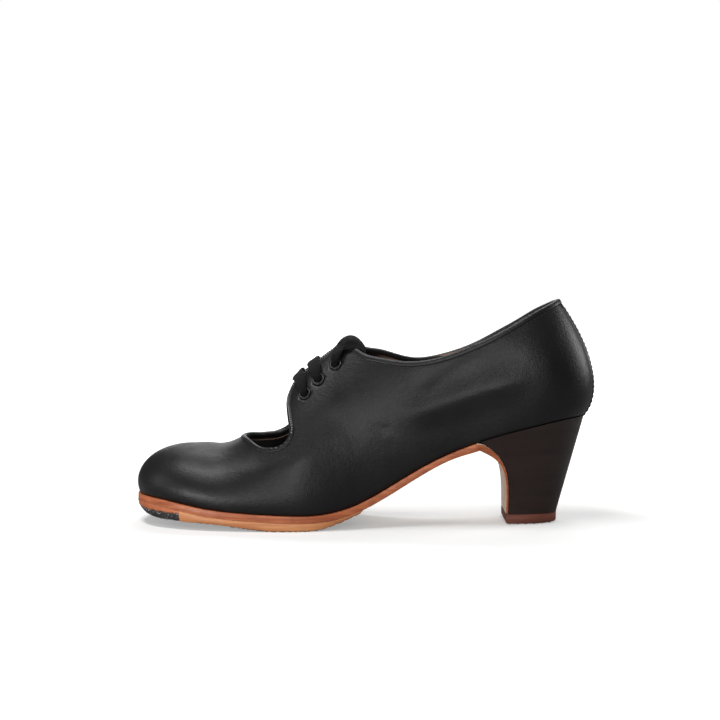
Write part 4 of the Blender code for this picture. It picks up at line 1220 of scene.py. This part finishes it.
def block_side(side, count, level):
    """One side of the heel at a level from 0, its foot, to 1, the seat."""
    top = seat_outline(side, count)
    foot = heel_outline(side, HEEL_FRONT, 0.0, LIFT_HEIGHT, count)
    share = np.linspace(0, 1, count)
    bend = 1 + (BREAST_BEND - 1) * np.clip(1 - share / BREAST_SHARE, 0, 1) ** 2
    x = foot[:, 0] + (top[:, 0] - foot[:, 0]) * level**bend
    y = foot[:, 1] + (top[:, 1] - foot[:, 1]) * level**HEEL_SIDE_BEND
    return np.column_stack([x, y, foot[:, 2] + (top[:, 2] - foot[:, 2]) * level])


def heel_block(material):
    columns = 60
    rings = []
    for level in np.linspace(0, 1, 44):
        rings.append(round_both(block_side(-1, columns, level), block_side(1, columns, level)))
    return finish_piece(loft("heel_wood", rings, [material], sharp=0.9), "dark_wood", "heel_block")


# Profile of the lift's side, top to bottom: share of the height and inset in metres
LIFT_PROFILE = (
    (0.00, 0.0030),
    (0.00, 0.0003),
    (0.04, 0.0000),
    (0.55, 0.0000),
    (0.86, 0.0001),
    (0.96, 0.0004),
    (1.00, 0.0012),
)


def heel_lift(material):
    front = HEEL_FRONT - GAP - BREAST_FLAP
    rings = []
    top = LIFT_HEIGHT - GAP / 2
    bottom = NAIL_SEAT
    for share, inset in LIFT_PROFILE:
        height = top + (bottom - top) * share
        rings.append(round_both(*(heel_outline(side, front, inset, height, 40) for side in (-1, 1))))
    return finish_piece(loft("heel_lift_stack", rings, [material], sharp=0.9), "lift_leather", "heel_lift")


def outsole(materials):
    """The long sole and, in one piece with it, the flap down the heel's breast."""
    corner_place = WAIST_END * SHOE_LENGTH
    places = rung_places(TIP, round_place(corner_place), SOLE_RUNGS)

    def swollen(x):
        near = np.exp(-(((corner_place - x) / CORNER_REACH) ** 2))
        return outsole_thickness(x) + CORNER_SWELL * near

    rings = list(sole_rings(places, lambda x: np.full_like(x, GAP), swollen))
    levels = np.linspace(FLAP_TOP, FLAP_FOOT, 50)
    corners = np.array([[block_side(side, 60, level)[0] for side in (-1, 1)] for level in levels])
    path = corners[:, 0][:, [0, 2]]
    run = unit(np.gradient(path, axis=0))
    down = np.column_stack([run[:, 1], -run[:, 0]])
    at_waist = float(outsole_thickness(corner_place))
    thick = BREAST_FLAP + (at_waist - BREAST_FLAP) * (levels / levels[0]) ** FLAP_THINNING
    thick += CORNER_SWELL * np.exp(-(((levels[0] - levels) / CORNER_DROP) ** 2))
    for i in range(len(levels)):
        ring = []
        for side, rows in ((0, SIDE_PROFILE), (1, SIDE_PROFILE[::-1])):
            for inset, share in rows:
                inward = min(inset, 0.0015) * (1 if side == 0 else -1)
                depth = GAP + thick[i] * share
                x, z = path[i] + down[i] * depth
                ring.append((x, corners[i, side, 1] + inward, z))
        rings.append(ring)
    made = loft("outsole_leather", rings, materials, sharp=0.7)
    flap_from = corner_place - ORIGIN[0]
    for polygon in made.data.polygons:
        on_flap = polygon.center.x > flap_from and abs(polygon.normal.y) < FACE_TURN
        if polygon.normal.z < -FACE_TURN or on_flap:
            polygon.material_index = 1
    return finish_piece(made, "sole_leather", "outsole")


def half_sole(materials):
    """The second layer, with a slightly uneven lower edge; blackened at the toe, where the nails are."""
    end = round_place(HALF_SOLE_END)
    places = rung_places(TIP, end, 150, 1.1)
    rings = []
    for side, rows in ((-1, HALF_SOLE_PROFILE), (1, HALF_SOLE_PROFILE[::-1])):
        for inset, share in rows:
            limit = np.minimum(inset, places * 0.45)
            x = feather_plan(places, side, SOLE_OVERHANG)[:, 0]
            wear = np.clip((TOE_NAILS_LENGTH - x) / 0.004, 0, 1)
            uneven = EDGE_WEAR * np.sin(x * 1900 + 2 * side) * np.sin(x * 730 + side) * share
            chamfer = TOE_CHAMFER * wear * max(0.0, share - 0.45)
            plan = feather_plan(places, side, SOLE_OVERHANG - limit - chamfer)
            x = plan[:, 0]
            normal = feather_normals(x)
            drop = GAP + outsole_thickness(x) + 0.00002
            top = feather_height(x) + normal[:, 1] * drop
            top_x = x + normal[:, 0] * drop
            bottom = ground_height(x) + NAIL_SEAT * wear + np.abs(uneven) * (inset < 0.001)
            height = top + (bottom - top) * share
            rings.append(np.stack([top_x + (x - top_x) * share, plan[:, 1], height], 1))
    made = loft("half_sole_leather", np.array(rings).transpose(1, 0, 2), materials, sharp=0.7)
    for polygon in made.data.polygons:
        along = polygon.center.x + ORIGIN[0]
        ragged = math.sin(along * 1700) + math.sin(along * 4100 + 1)
        near_floor = polygon.center.z - float(ground_height(along)) < DIRT_HEIGHT
        if polygon.normal.z < -FACE_TURN:
            polygon.material_index = 1 if along > TOE_NAILS_LENGTH else 2
        elif near_floor and DIRT_FROM < along < DIRT_TO and ragged > -0.5:
            polygon.material_index = 2
    return finish_piece(made, "pale_sole_leather", "half_sole")


def nail_heads(name, spots, radius, material, node):
    """Low domed nail heads, each at its own spot with its own outward direction and small turn."""
    points, faces = [], []
    shape = ((1.0, 0.0), (1.0, 0.35), (0.82, 0.75), (0.45, 0.96))
    sides = 9
    random = np.random.default_rng(7)
    for spot, out in spots:
        size = radius * random.uniform(0.86, 1.08)
        high = NAIL_HEAD_HEIGHT * random.uniform(0.8, 1.0)
        tilt = unit(out + random.normal(0, 0.06, 3))
        first_axis = unit(np.cross(tilt, (0.31, 0.17, 0.93)))
        second_axis = np.cross(tilt, first_axis)
        phase = random.uniform(0, 1)
        first = len(points)
        for share, lift in shape:
            for j in range(sides):
                turn = 2 * math.pi * (j / sides + phase)
                flat = first_axis * math.cos(turn) + second_axis * math.sin(turn)
                points.append(spot + flat * size * share + tilt * high * lift)
        points.append(spot + tilt * high)
        faces += tube_faces(first, len(shape), sides)
        top = first + (len(shape) - 1) * sides
        for j in range(sides):
            faces.append((top + j, top + (j + 1) % sides, top + sides))
        faces.append(tuple(range(first, first + sides)))
    made = mesh_piece(name, points, faces, [material], sharp=0.6)
    return finish_piece(made, "nail_steel", node)


def nail_rows(start, stop, pitch, limits):
    """Staggered rows of spots across the shoe; limits gives both sides at a place along it."""
    row = 0
    x = start
    while x < stop:
        low, high = limits(x)
        count = max(1, int((high - low) / pitch))
        for i in range(count + 1):
            y = low + (high - low) * (i + 0.5 * (row % 2)) / count
            if y <= high:
                yield x, y
        x += pitch * NAIL_ROW_SPACING
        row += 1


def toe_nail_spots():
    """Nail heads over the half moon under the toe, and two rows on its chamfered edge."""
    sides = [feather_plan(ROUND_SAMPLES, side, SOLE_OVERHANG - TOE_NAIL_INSET) for side in (-1, 1)]

    def limits(x):
        return [float(np.interp(x, side[:, 0], side[:, 1])) for side in sides]

    spots = []
    for x, y in nail_rows(TOE_NAILS_FRONT, TOE_NAILS_LENGTH - TOE_NAILS_BACK, TOE_NAIL_PITCH, limits):
        slope = (ground_height(x + 0.001) - ground_height(x - 0.001)) / 0.002
        spots.append((np.array((x, y, ground_height(x) + NAIL_SEAT)), unit(np.array((slope, 0.0, -1.0)))))
    ends = np.linspace(0.0006, round_place(TOE_NAILS_LENGTH), 60)
    for side in (-1, 1):
        places = spread(np.array([(u, side) for u in ends]), EDGE_NAIL_PITCH)
        for share, inset, fall in EDGE_NAIL_ROWS:
            plan = feather_plan(places[:, 0], side, SOLE_OVERHANG - inset)
            middle = feather_plan(places[:, 0], side, -0.004)
            for (px, py), (mx, my) in zip(plan, middle):
                top = feather_height(px) - 2 * GAP - OUTSOLE_THICKNESS
                bottom = float(ground_height(px)) + NAIL_SEAT
                out = unit(unit(np.array((px - mx, py - my, 0.0))) + np.array((0.0, 0.0, fall)))
                spots.append((np.array((px, py, top + (bottom - top) * share)), out))
    return spots


def heel_nail_spots():
    front = HEEL_FRONT - GAP - BREAST_FLAP
    outer = heel_outline(-1, front, HEEL_NAIL_INSET, 0.0, 200)

    def limits(x):
        edge_y = float(np.interp(x, outer[:, 0], outer[:, 1]))
        return edge_y, -edge_y

    rows = nail_rows(front + HEEL_NAILS_FRONT, HEEL_BACK - HEEL_NAILS_BACK, HEEL_NAIL_PITCH, limits)
    return [(np.array((x, y, NAIL_SEAT)), np.array((0.0, 0.0, -1.0))) for x, y in rows]


def insole(material):
    """The insole, a little dished where the foot stands."""
    places = rung_places(TIP * 1.5, ROUND - TIP, 110, 1.0)
    shares = (-1.0, -0.985, -0.9, -0.6, -0.3, 0.0, 0.3, 0.6, 0.9, 0.985, 1.0)
    inset = -(WALL + INSOLE_CLEAR)
    outer = feather_plan(places, -1, inset)
    inner = feather_plan(places, 1, inset)
    rings = []
    for share in shares:
        mix = (share + 1) / 2
        plan = outer + (inner - outer) * mix
        drop = INSOLE_ROUNDING if abs(share) == 1.0 else 0.0
        dish = INSOLE_DISH * (1 - share * share)
        rings.append(np.column_stack([plan, feather_height(plan[:, 0]) + INSOLE_THICKNESS - drop - dish]))
    for plan in (inner, outer):
        rings.append(np.column_stack([plan, feather_height(plan[:, 0])]))
    made = loft("insole_leather", np.array(rings).transpose(1, 0, 2), [material], sharp=0.9)
    return finish_piece(made, "tan_lining", "insole")


def eyelet(name, u, v, material):
    """A rolled ring, turned about its own axis, whose tube goes through the wall."""
    hole = EYELET_HOLE / 2
    tube = hole + EYELET_TUBE_WALL
    flange = EYELET_FLANGE / 2
    base = GAP / 2 + float(relief(np.array([(u, v)]), last_points(u, v))[0])
    profile = [(flange, base)]
    for i in range(9):
        turn = math.pi * i / 8
        middle = (flange + hole) / 2
        height = base + EYELET_RIM * 0.95 * math.sin(turn) ** 0.8
        profile.append((middle + (flange - middle) * math.cos(turn), height))
    profile += [(hole, base - 0.0004), (hole, -WALL - 0.0005), (tube, -WALL - 0.0005), (tube, base)]
    origin = last_points(u, v)[0]
    axis = outwards(u, v)[0]
    first = unit(np.cross(axis, (0.0, 0.0, 1.0)))
    second = np.cross(axis, first)
    rings = []
    for i in range(49):
        turn = 2 * math.pi * i / 48
        flat = first * math.cos(turn) + second * math.sin(turn)
        rings.append([origin + flat * radius + axis * height for radius, height in profile])
    made = loft(name + "_ring", rings, [material], caps=False, sharp=0.9)
    return finish_piece(made, "black_enamel", name)


def ribbon(name, path, widths, across, material, thickness=LACE_THICKNESS, wave=0.0):
    """A flat lace with oval sections, soft folds and a weave laid along it; across may turn on the way."""
    path = np.array(path, float)
    across = np.broadcast_to(np.asarray(across, float), path.shape)
    ahead = unit(np.gradient(path, axis=0))
    wide = unit(across - ahead * (across * ahead).sum(1)[:, None])
    thick = np.cross(ahead, wide)
    sides = 20
    turns = 2 * math.pi * np.arange(sides) / sides
    flat = np.sign(np.cos(turns)) * np.abs(np.cos(turns)) ** LACE_FLATNESS
    high = np.sign(np.sin(turns)) * np.abs(np.sin(turns)) ** LACE_FULLNESS
    run = run_along(path)
    rings = []
    for i in range(len(path)):
        fold = wave * np.sin(flat * 4.2 + run[i] * 260) * (widths[i] / LACE_WIDTH)
        ring = path[i] + np.outer(flat * widths[i] / 2, wide[i])
        rings.append(ring + np.outer(high * thickness / 2 + fold, thick[i]))
    made = loft(name, rings, [material], sharp=1.4)
    layer = made.data.uv_layers.new(name="weave")
    co = np.array([vertex.co for vertex in made.data.vertices]) + ORIGIN
    tree = KDTree(len(path))
    for i, point in enumerate(path):
        tree.insert(point, i)
    tree.balance()
    for loop in made.data.loops:
        point = co[loop.vertex_index]
        i = tree.find(point)[1]
        layer.uv[loop.index].vector = (float((point - path[i]) @ wide[i]) * 1000, run[i] * 1000)
    return made


# How the lace gathers in an eyelet: width against the hole, then the shares of the way where it begins to
# widen and over which it does
GATHERED = 0.66
WIDENS_FROM = 0.08
WIDENS_OVER = 0.42


def hole_width(share):
    spread_out = np.clip((share - WIDENS_FROM) / WIDENS_OVER, 0.0, 1.0)
    small = EYELET_HOLE * GATHERED
    return small + (LACE_WIDTH - small) * np.sin(spread_out * math.pi / 2)


def lace_bar(number, material):
    foot, reach = EYELETS[number - 1]
    u = round_place(foot * SHOE_LENGTH)
    ahead = round_place((foot - LACE_BAR_LEADS[number - 1]) * SHOE_LENGTH)
    points = []
    for side, rows in ((-1, LACE_BAR), (1, LACE_BAR[:-1][::-1])):
        for share, height in rows:
            points.append(over_last(u + (ahead - u) * share, side * reach * (1 - share), height))
    path = smooth_through(points, BAR_SAMPLES)
    shares = 1 - np.abs(np.linspace(-1, 1, BAR_SAMPLES))
    along, _ = slopes(ahead, 0.0)
    made = ribbon(f"lace_band_{number}", path, hole_width(shares), unit(along)[0], material, wave=LACE_WAVE)
    return finish_piece(made, "black_cotton", f"lace_bar_{number}")


def knotted_lace(material):
    """The top of the lace as one cord, from the outer eyelet over the slit to the inner, and its knot."""
    foot, reach = EYELETS[-1]
    u = round_place(foot * SHOE_LENGTH)
    to_u = round_place(LACE_END_TO[0] * SHOE_LENGTH)
    points = []
    for side, rows in ((-1, LACE_END), (1, LACE_END[::-1])):
        for share, height in rows:
            v = side * (reach + (LACE_END_TO[1] - reach) * share)
            points.append(over_last(u + (to_u - u) * share, v, height))
    path = smooth_through(points, TOP_SAMPLES)
    shares = 1 - np.abs(np.linspace(-1, 1, TOP_SAMPLES))
    along, _ = slopes(u, -reach)
    cord = ribbon("lace_top", path, hole_width(shares * 0.9), unit(along)[0], material, wave=LACE_WAVE)
    finish_piece(cord, "black_cotton", "lace_end_outer", "lace_end_inner")
    knot = lace_knot(material)


# The knot's wraps from its middle: along, across and up, then lean, turn, half length, bulge, width and the
# drop of their ends
KNOT_WRAPS = (
    ((-0.0002, -0.0082, -0.0020), 0.95, 0.03, 0.0074, 0.0020, 0.0068, 0.0032),
    ((-0.0004, -0.0015, 0.0004), 0.25, -0.12, 0.0068, 0.0018, 0.0068, 0.0032),
    ((0.0004, 0.0050, -0.0012), -0.70, 0.10, 0.0070, 0.0019, 0.0062, 0.0032),
)


def lace_knot(material):
    """A small flat knot: the lace wrapped round its own crossing, one wrap beside the other."""
    u = round_place(KNOT_PLACE * SHOE_LENGTH)
    centre = over_last(u, 0.0, KNOT_LIFT) + np.array(KNOT_SHIFT)
    turns = np.linspace(0, 2 * math.pi, KNOT_SAMPLES)
    bands = []
    for shift, lean, turn, half, bulge, width, drop in KNOT_WRAPS:
        face = np.array((0.0, -math.sin(lean), math.cos(lean)))
        beside = np.array((0.0, math.cos(lean), math.sin(lean)))
        ahead = np.array((1.0, 0.0, 0.0)) * math.cos(turn) + beside * math.sin(turn)
        beside = np.cross(face, ahead)
        path = centre + np.array(shift) + np.outer(np.cos(turns) * half, ahead)
        path += np.outer(np.sin(turns) * bulge, face)
        path[:, 2] -= np.cos(turns) ** 2 * drop
        widths = width * (1 - KNOT_TAPER * np.cos(turns) ** 2)
        bands.append(ribbon("knot_band", path, widths, beside, material, KNOT_THICKNESS, KNOT_WAVE))
    whole = bands[0]
    edit = bmesh.new()
    for band in bands:
        edit.from_mesh(band.data)
    for band in bands[1:]:
        bpy.data.objects.remove(band, do_unlink=True)
    edit.to_mesh(whole.data)
    edit.free()
    whole.name = "lace_knot_bands"
    whole.data.shade_smooth()
    return finish_piece(whole, "black_cotton", "lace_knot")


# Camera, lights and floor

CAMERA_DISTANCE = 0.950
CAMERA_HEIGHT = 0.154
CAMERA_TILT = math.radians(4.11)
CAMERA_ALONG = 0.11878
FOCAL_PIXELS = 1792.0
PHOTO_PIXELS = 720
SENSOR_MILLIMETRES = 36.0


def camera():
    made = bpy.data.cameras.new("camera")
    made.sensor_width = SENSOR_MILLIMETRES
    made.lens = FOCAL_PIXELS / PHOTO_PIXELS * made.sensor_width
    made.clip_end = 20
    obj = bpy.data.objects.new("camera", made)
    obj.location = (CAMERA_ALONG - ORIGIN[0], -CAMERA_DISTANCE - ORIGIN[1], CAMERA_HEIGHT)
    obj.rotation_euler = (math.pi / 2 - CAMERA_TILT, 0.0, 0.0)
    bpy.context.scene.collection.objects.link(obj)
    bpy.context.scene.camera = obj


def softbox(name, place, target, size, power):
    light = bpy.data.lights.new(name, "AREA")
    light.shape = "RECTANGLE"
    light.size, light.size_y = size
    light.energy = power
    obj = bpy.data.objects.new(name, light)
    obj.location = place
    obj.rotation_euler = (Vector(target) - Vector(place)).to_track_quat("-Z", "Y").to_euler()
    bpy.context.scene.collection.objects.link(obj)


def studio():
    world = bpy.data.worlds.new("studio")
    world.use_nodes = True
    tree = world.node_tree
    background = tree.nodes["Background"]
    background.inputs["Color"].default_value = (1.0, 1.0, 1.0, 1.0)
    background.inputs["Strength"].default_value = 0.07
    white = tree.nodes.new("ShaderNodeBackground")
    white.inputs["Color"].default_value = (1.0, 1.0, 1.0, 1.0)
    white.inputs["Strength"].default_value = 1.0
    seen = tree.nodes.new("ShaderNodeLightPath")
    mix = tree.nodes.new("ShaderNodeMixShader")
    tree.links.new(seen.outputs["Is Camera Ray"], mix.inputs["Fac"])
    tree.links.new(background.outputs["Background"], mix.inputs[1])
    tree.links.new(white.outputs["Background"], mix.inputs[2])
    tree.links.new(mix.outputs["Shader"], tree.nodes["World Output"].inputs["Surface"])
    bpy.context.scene.world = world
    softbox("top", (-0.35, -0.25, 1.40), (0.0, 0.0, 0.05), (0.9, 0.28), 10)
    softbox("front", (0.03, -1.40, 0.46), (0.0, 0.0, 0.05), (0.46, 0.86), 6)
    softbox("back", (0.15, 0.90, 1.30), (0.0, 0.0, 0.05), (1.2, 0.5), 8)
    softbox("left", (-1.60, -0.25, 0.60), (0.0, 0.0, 0.05), (0.6, 0.9), 3.5)
    softbox("inner", (-0.10, 1.40, 0.50), (0.0, 0.0, 0.05), (0.8, 0.7), 2.2)
    softbox("right", (1.40, 0.55, 0.55), (0.0, 0.0, 0.05), (0.4, 0.7), 7)
    softbox("low", (-0.50, -0.62, 0.08), (0.075, 0.0, 0.03), (0.30, 0.12), 2.4)
    bpy.context.scene.view_settings.view_transform = "Standard"


def floor():
    bpy.ops.mesh.primitive_plane_add(size=30.0)
    plane = bpy.context.object
    plane.name = "floor"
    plane.data.materials.append(floor_material())
    plane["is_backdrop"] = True


# Stitches: height over the leather, pitch, length and radius in metres; then how far each row lies from
# the edge and where it runs, as shares of SHOE_LENGTH and of the way down the side
COLLAR_STITCH = (0.00002, 0.0024, 0.0018, 0.00018)
TAB_STITCH = (0.00085, 0.00140, 0.0008, 0.00034)
BACK_STITCH = (0.00012, 0.0026, 0.0017, 0.00024)
COLLAR_STITCHES_INSET = 0.0030
TAB_STITCHES_INSET = 0.0014
BACK_STITCHES_INSET = 0.0014
COLLAR_STITCHES_FROM = 0.475
TAB_STITCHES_FROM = 0.326
TAB_STITCHES_TO = 0.455
TAB_STITCHES_REACH = 0.51
BACK_STITCHES_REACH = (0.23, 0.985)

camera()
cotton = lace_material()
knotted_lace(cotton)
lace_bar(1, cotton)
lace_bar(2, cotton)
studio()
floor()

calf = calf_material("black_calf_leather")
lining = lining_material()
edge = spread(edge_curve(), EDGE_STEP)
upper_skin([calf, lining], edge)
binding(calf_material("black_binding_leather", gloss=0.10), edge)
black_thread = thread_material("black_thread", (0.03, 0.03, 0.03))
pale_thread = thread_material("pale_thread", (0.42, 0.41, 0.40))
grey_thread = thread_material("grey_thread", (0.36, 0.35, 0.34))
for side, name in ((-1, "outer"), (1, "inner")):
    this_side = edge[edge[:, 1] * side > 0]
    collar = this_side[this_side[:, 0] > round_place(COLLAR_STITCHES_FROM * SHOE_LENGTH)]
    front = this_side[this_side[:, 0] < round_place(TAB_STITCHES_TO * SHOE_LENGTH)]
    front = front[np.abs(front[:, 1]) < TAB_STITCHES_REACH]
    front = front[front[:, 0] > round_place(TAB_STITCHES_FROM * SHOE_LENGTH)]
    collar = inset_places(collar, COLLAR_STITCHES_INSET)[3:-3]
    stitch_row(f"collar_stitches_{name}", collar, *COLLAR_STITCH, black_thread)
    front = inset_places(front, TAB_STITCHES_INSET)[2:-2]
    stitch_row(f"tab_stitches_{name}", front, *TAB_STITCH, grey_thread)
lining_edge(thread_material("lining_cut_edge", (0.42, 0.27, 0.22)), edge)
for side, name in ((-1, "outer"), (1, "inner")):
    line_u = ROUND - BACK_STRIP_WIDTH / 2 + BACK_STITCHES_INSET
    line = np.array([(line_u, side * v) for v in np.linspace(*BACK_STITCHES_REACH, 80)])
    stitch_row(f"back_stitches_{name}", line, *BACK_STITCH, pale_thread)
enamel = enamel_material()
for eyelet_name, eyelet_u, eyelet_v in eyelet_places():
    eyelet(eyelet_name, eyelet_u, eyelet_v, enamel)
insole(insole_material())
outsole_edge = sole_edge_material("sole_edge_leather", OUTSOLE_LIGHT, OUTSOLE_DARK)
outsole_face = sole_face_material("sole_face_leather", *OUTSOLE_FACE)
outsole([outsole_edge, outsole_face])
half_sole_edge = nailed_edge_material(
    "half_sole_edge_leather", HALF_SOLE_LIGHT, HALF_SOLE_DARK, OUTSOLE_LIGHT, OUTSOLE_DARK
)
half_sole_face = sole_face_material("half_sole_face_leather", *HALF_SOLE_FACE)
half_sole([half_sole_edge, half_sole_face, dirt_material()])
heel_block(wood_material())
heel_lift(lift_material())
heel_steel = steel_material("heel_nail_steel", (0.62, 0.60, 0.58), (0.20, 0.18, 0.17))
nail_heads("heel_nail_heads", heel_nail_spots(), HEEL_NAIL_RADIUS, heel_steel, "heel_nails")
toe_steel = steel_material("toe_nail_steel", (0.86, 0.86, 0.88), (0.20, 0.19, 0.19))
nail_heads("toe_nail_heads", toe_nail_spots(), TOE_NAIL_RADIUS, toe_steel, "toe_nails")


with_boxes = {"cad": cad_box, "visual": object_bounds()}
str({key: [[float(x) for x in corner] for corner in box] for key, box in with_boxes.items()}).replace("'", '"')
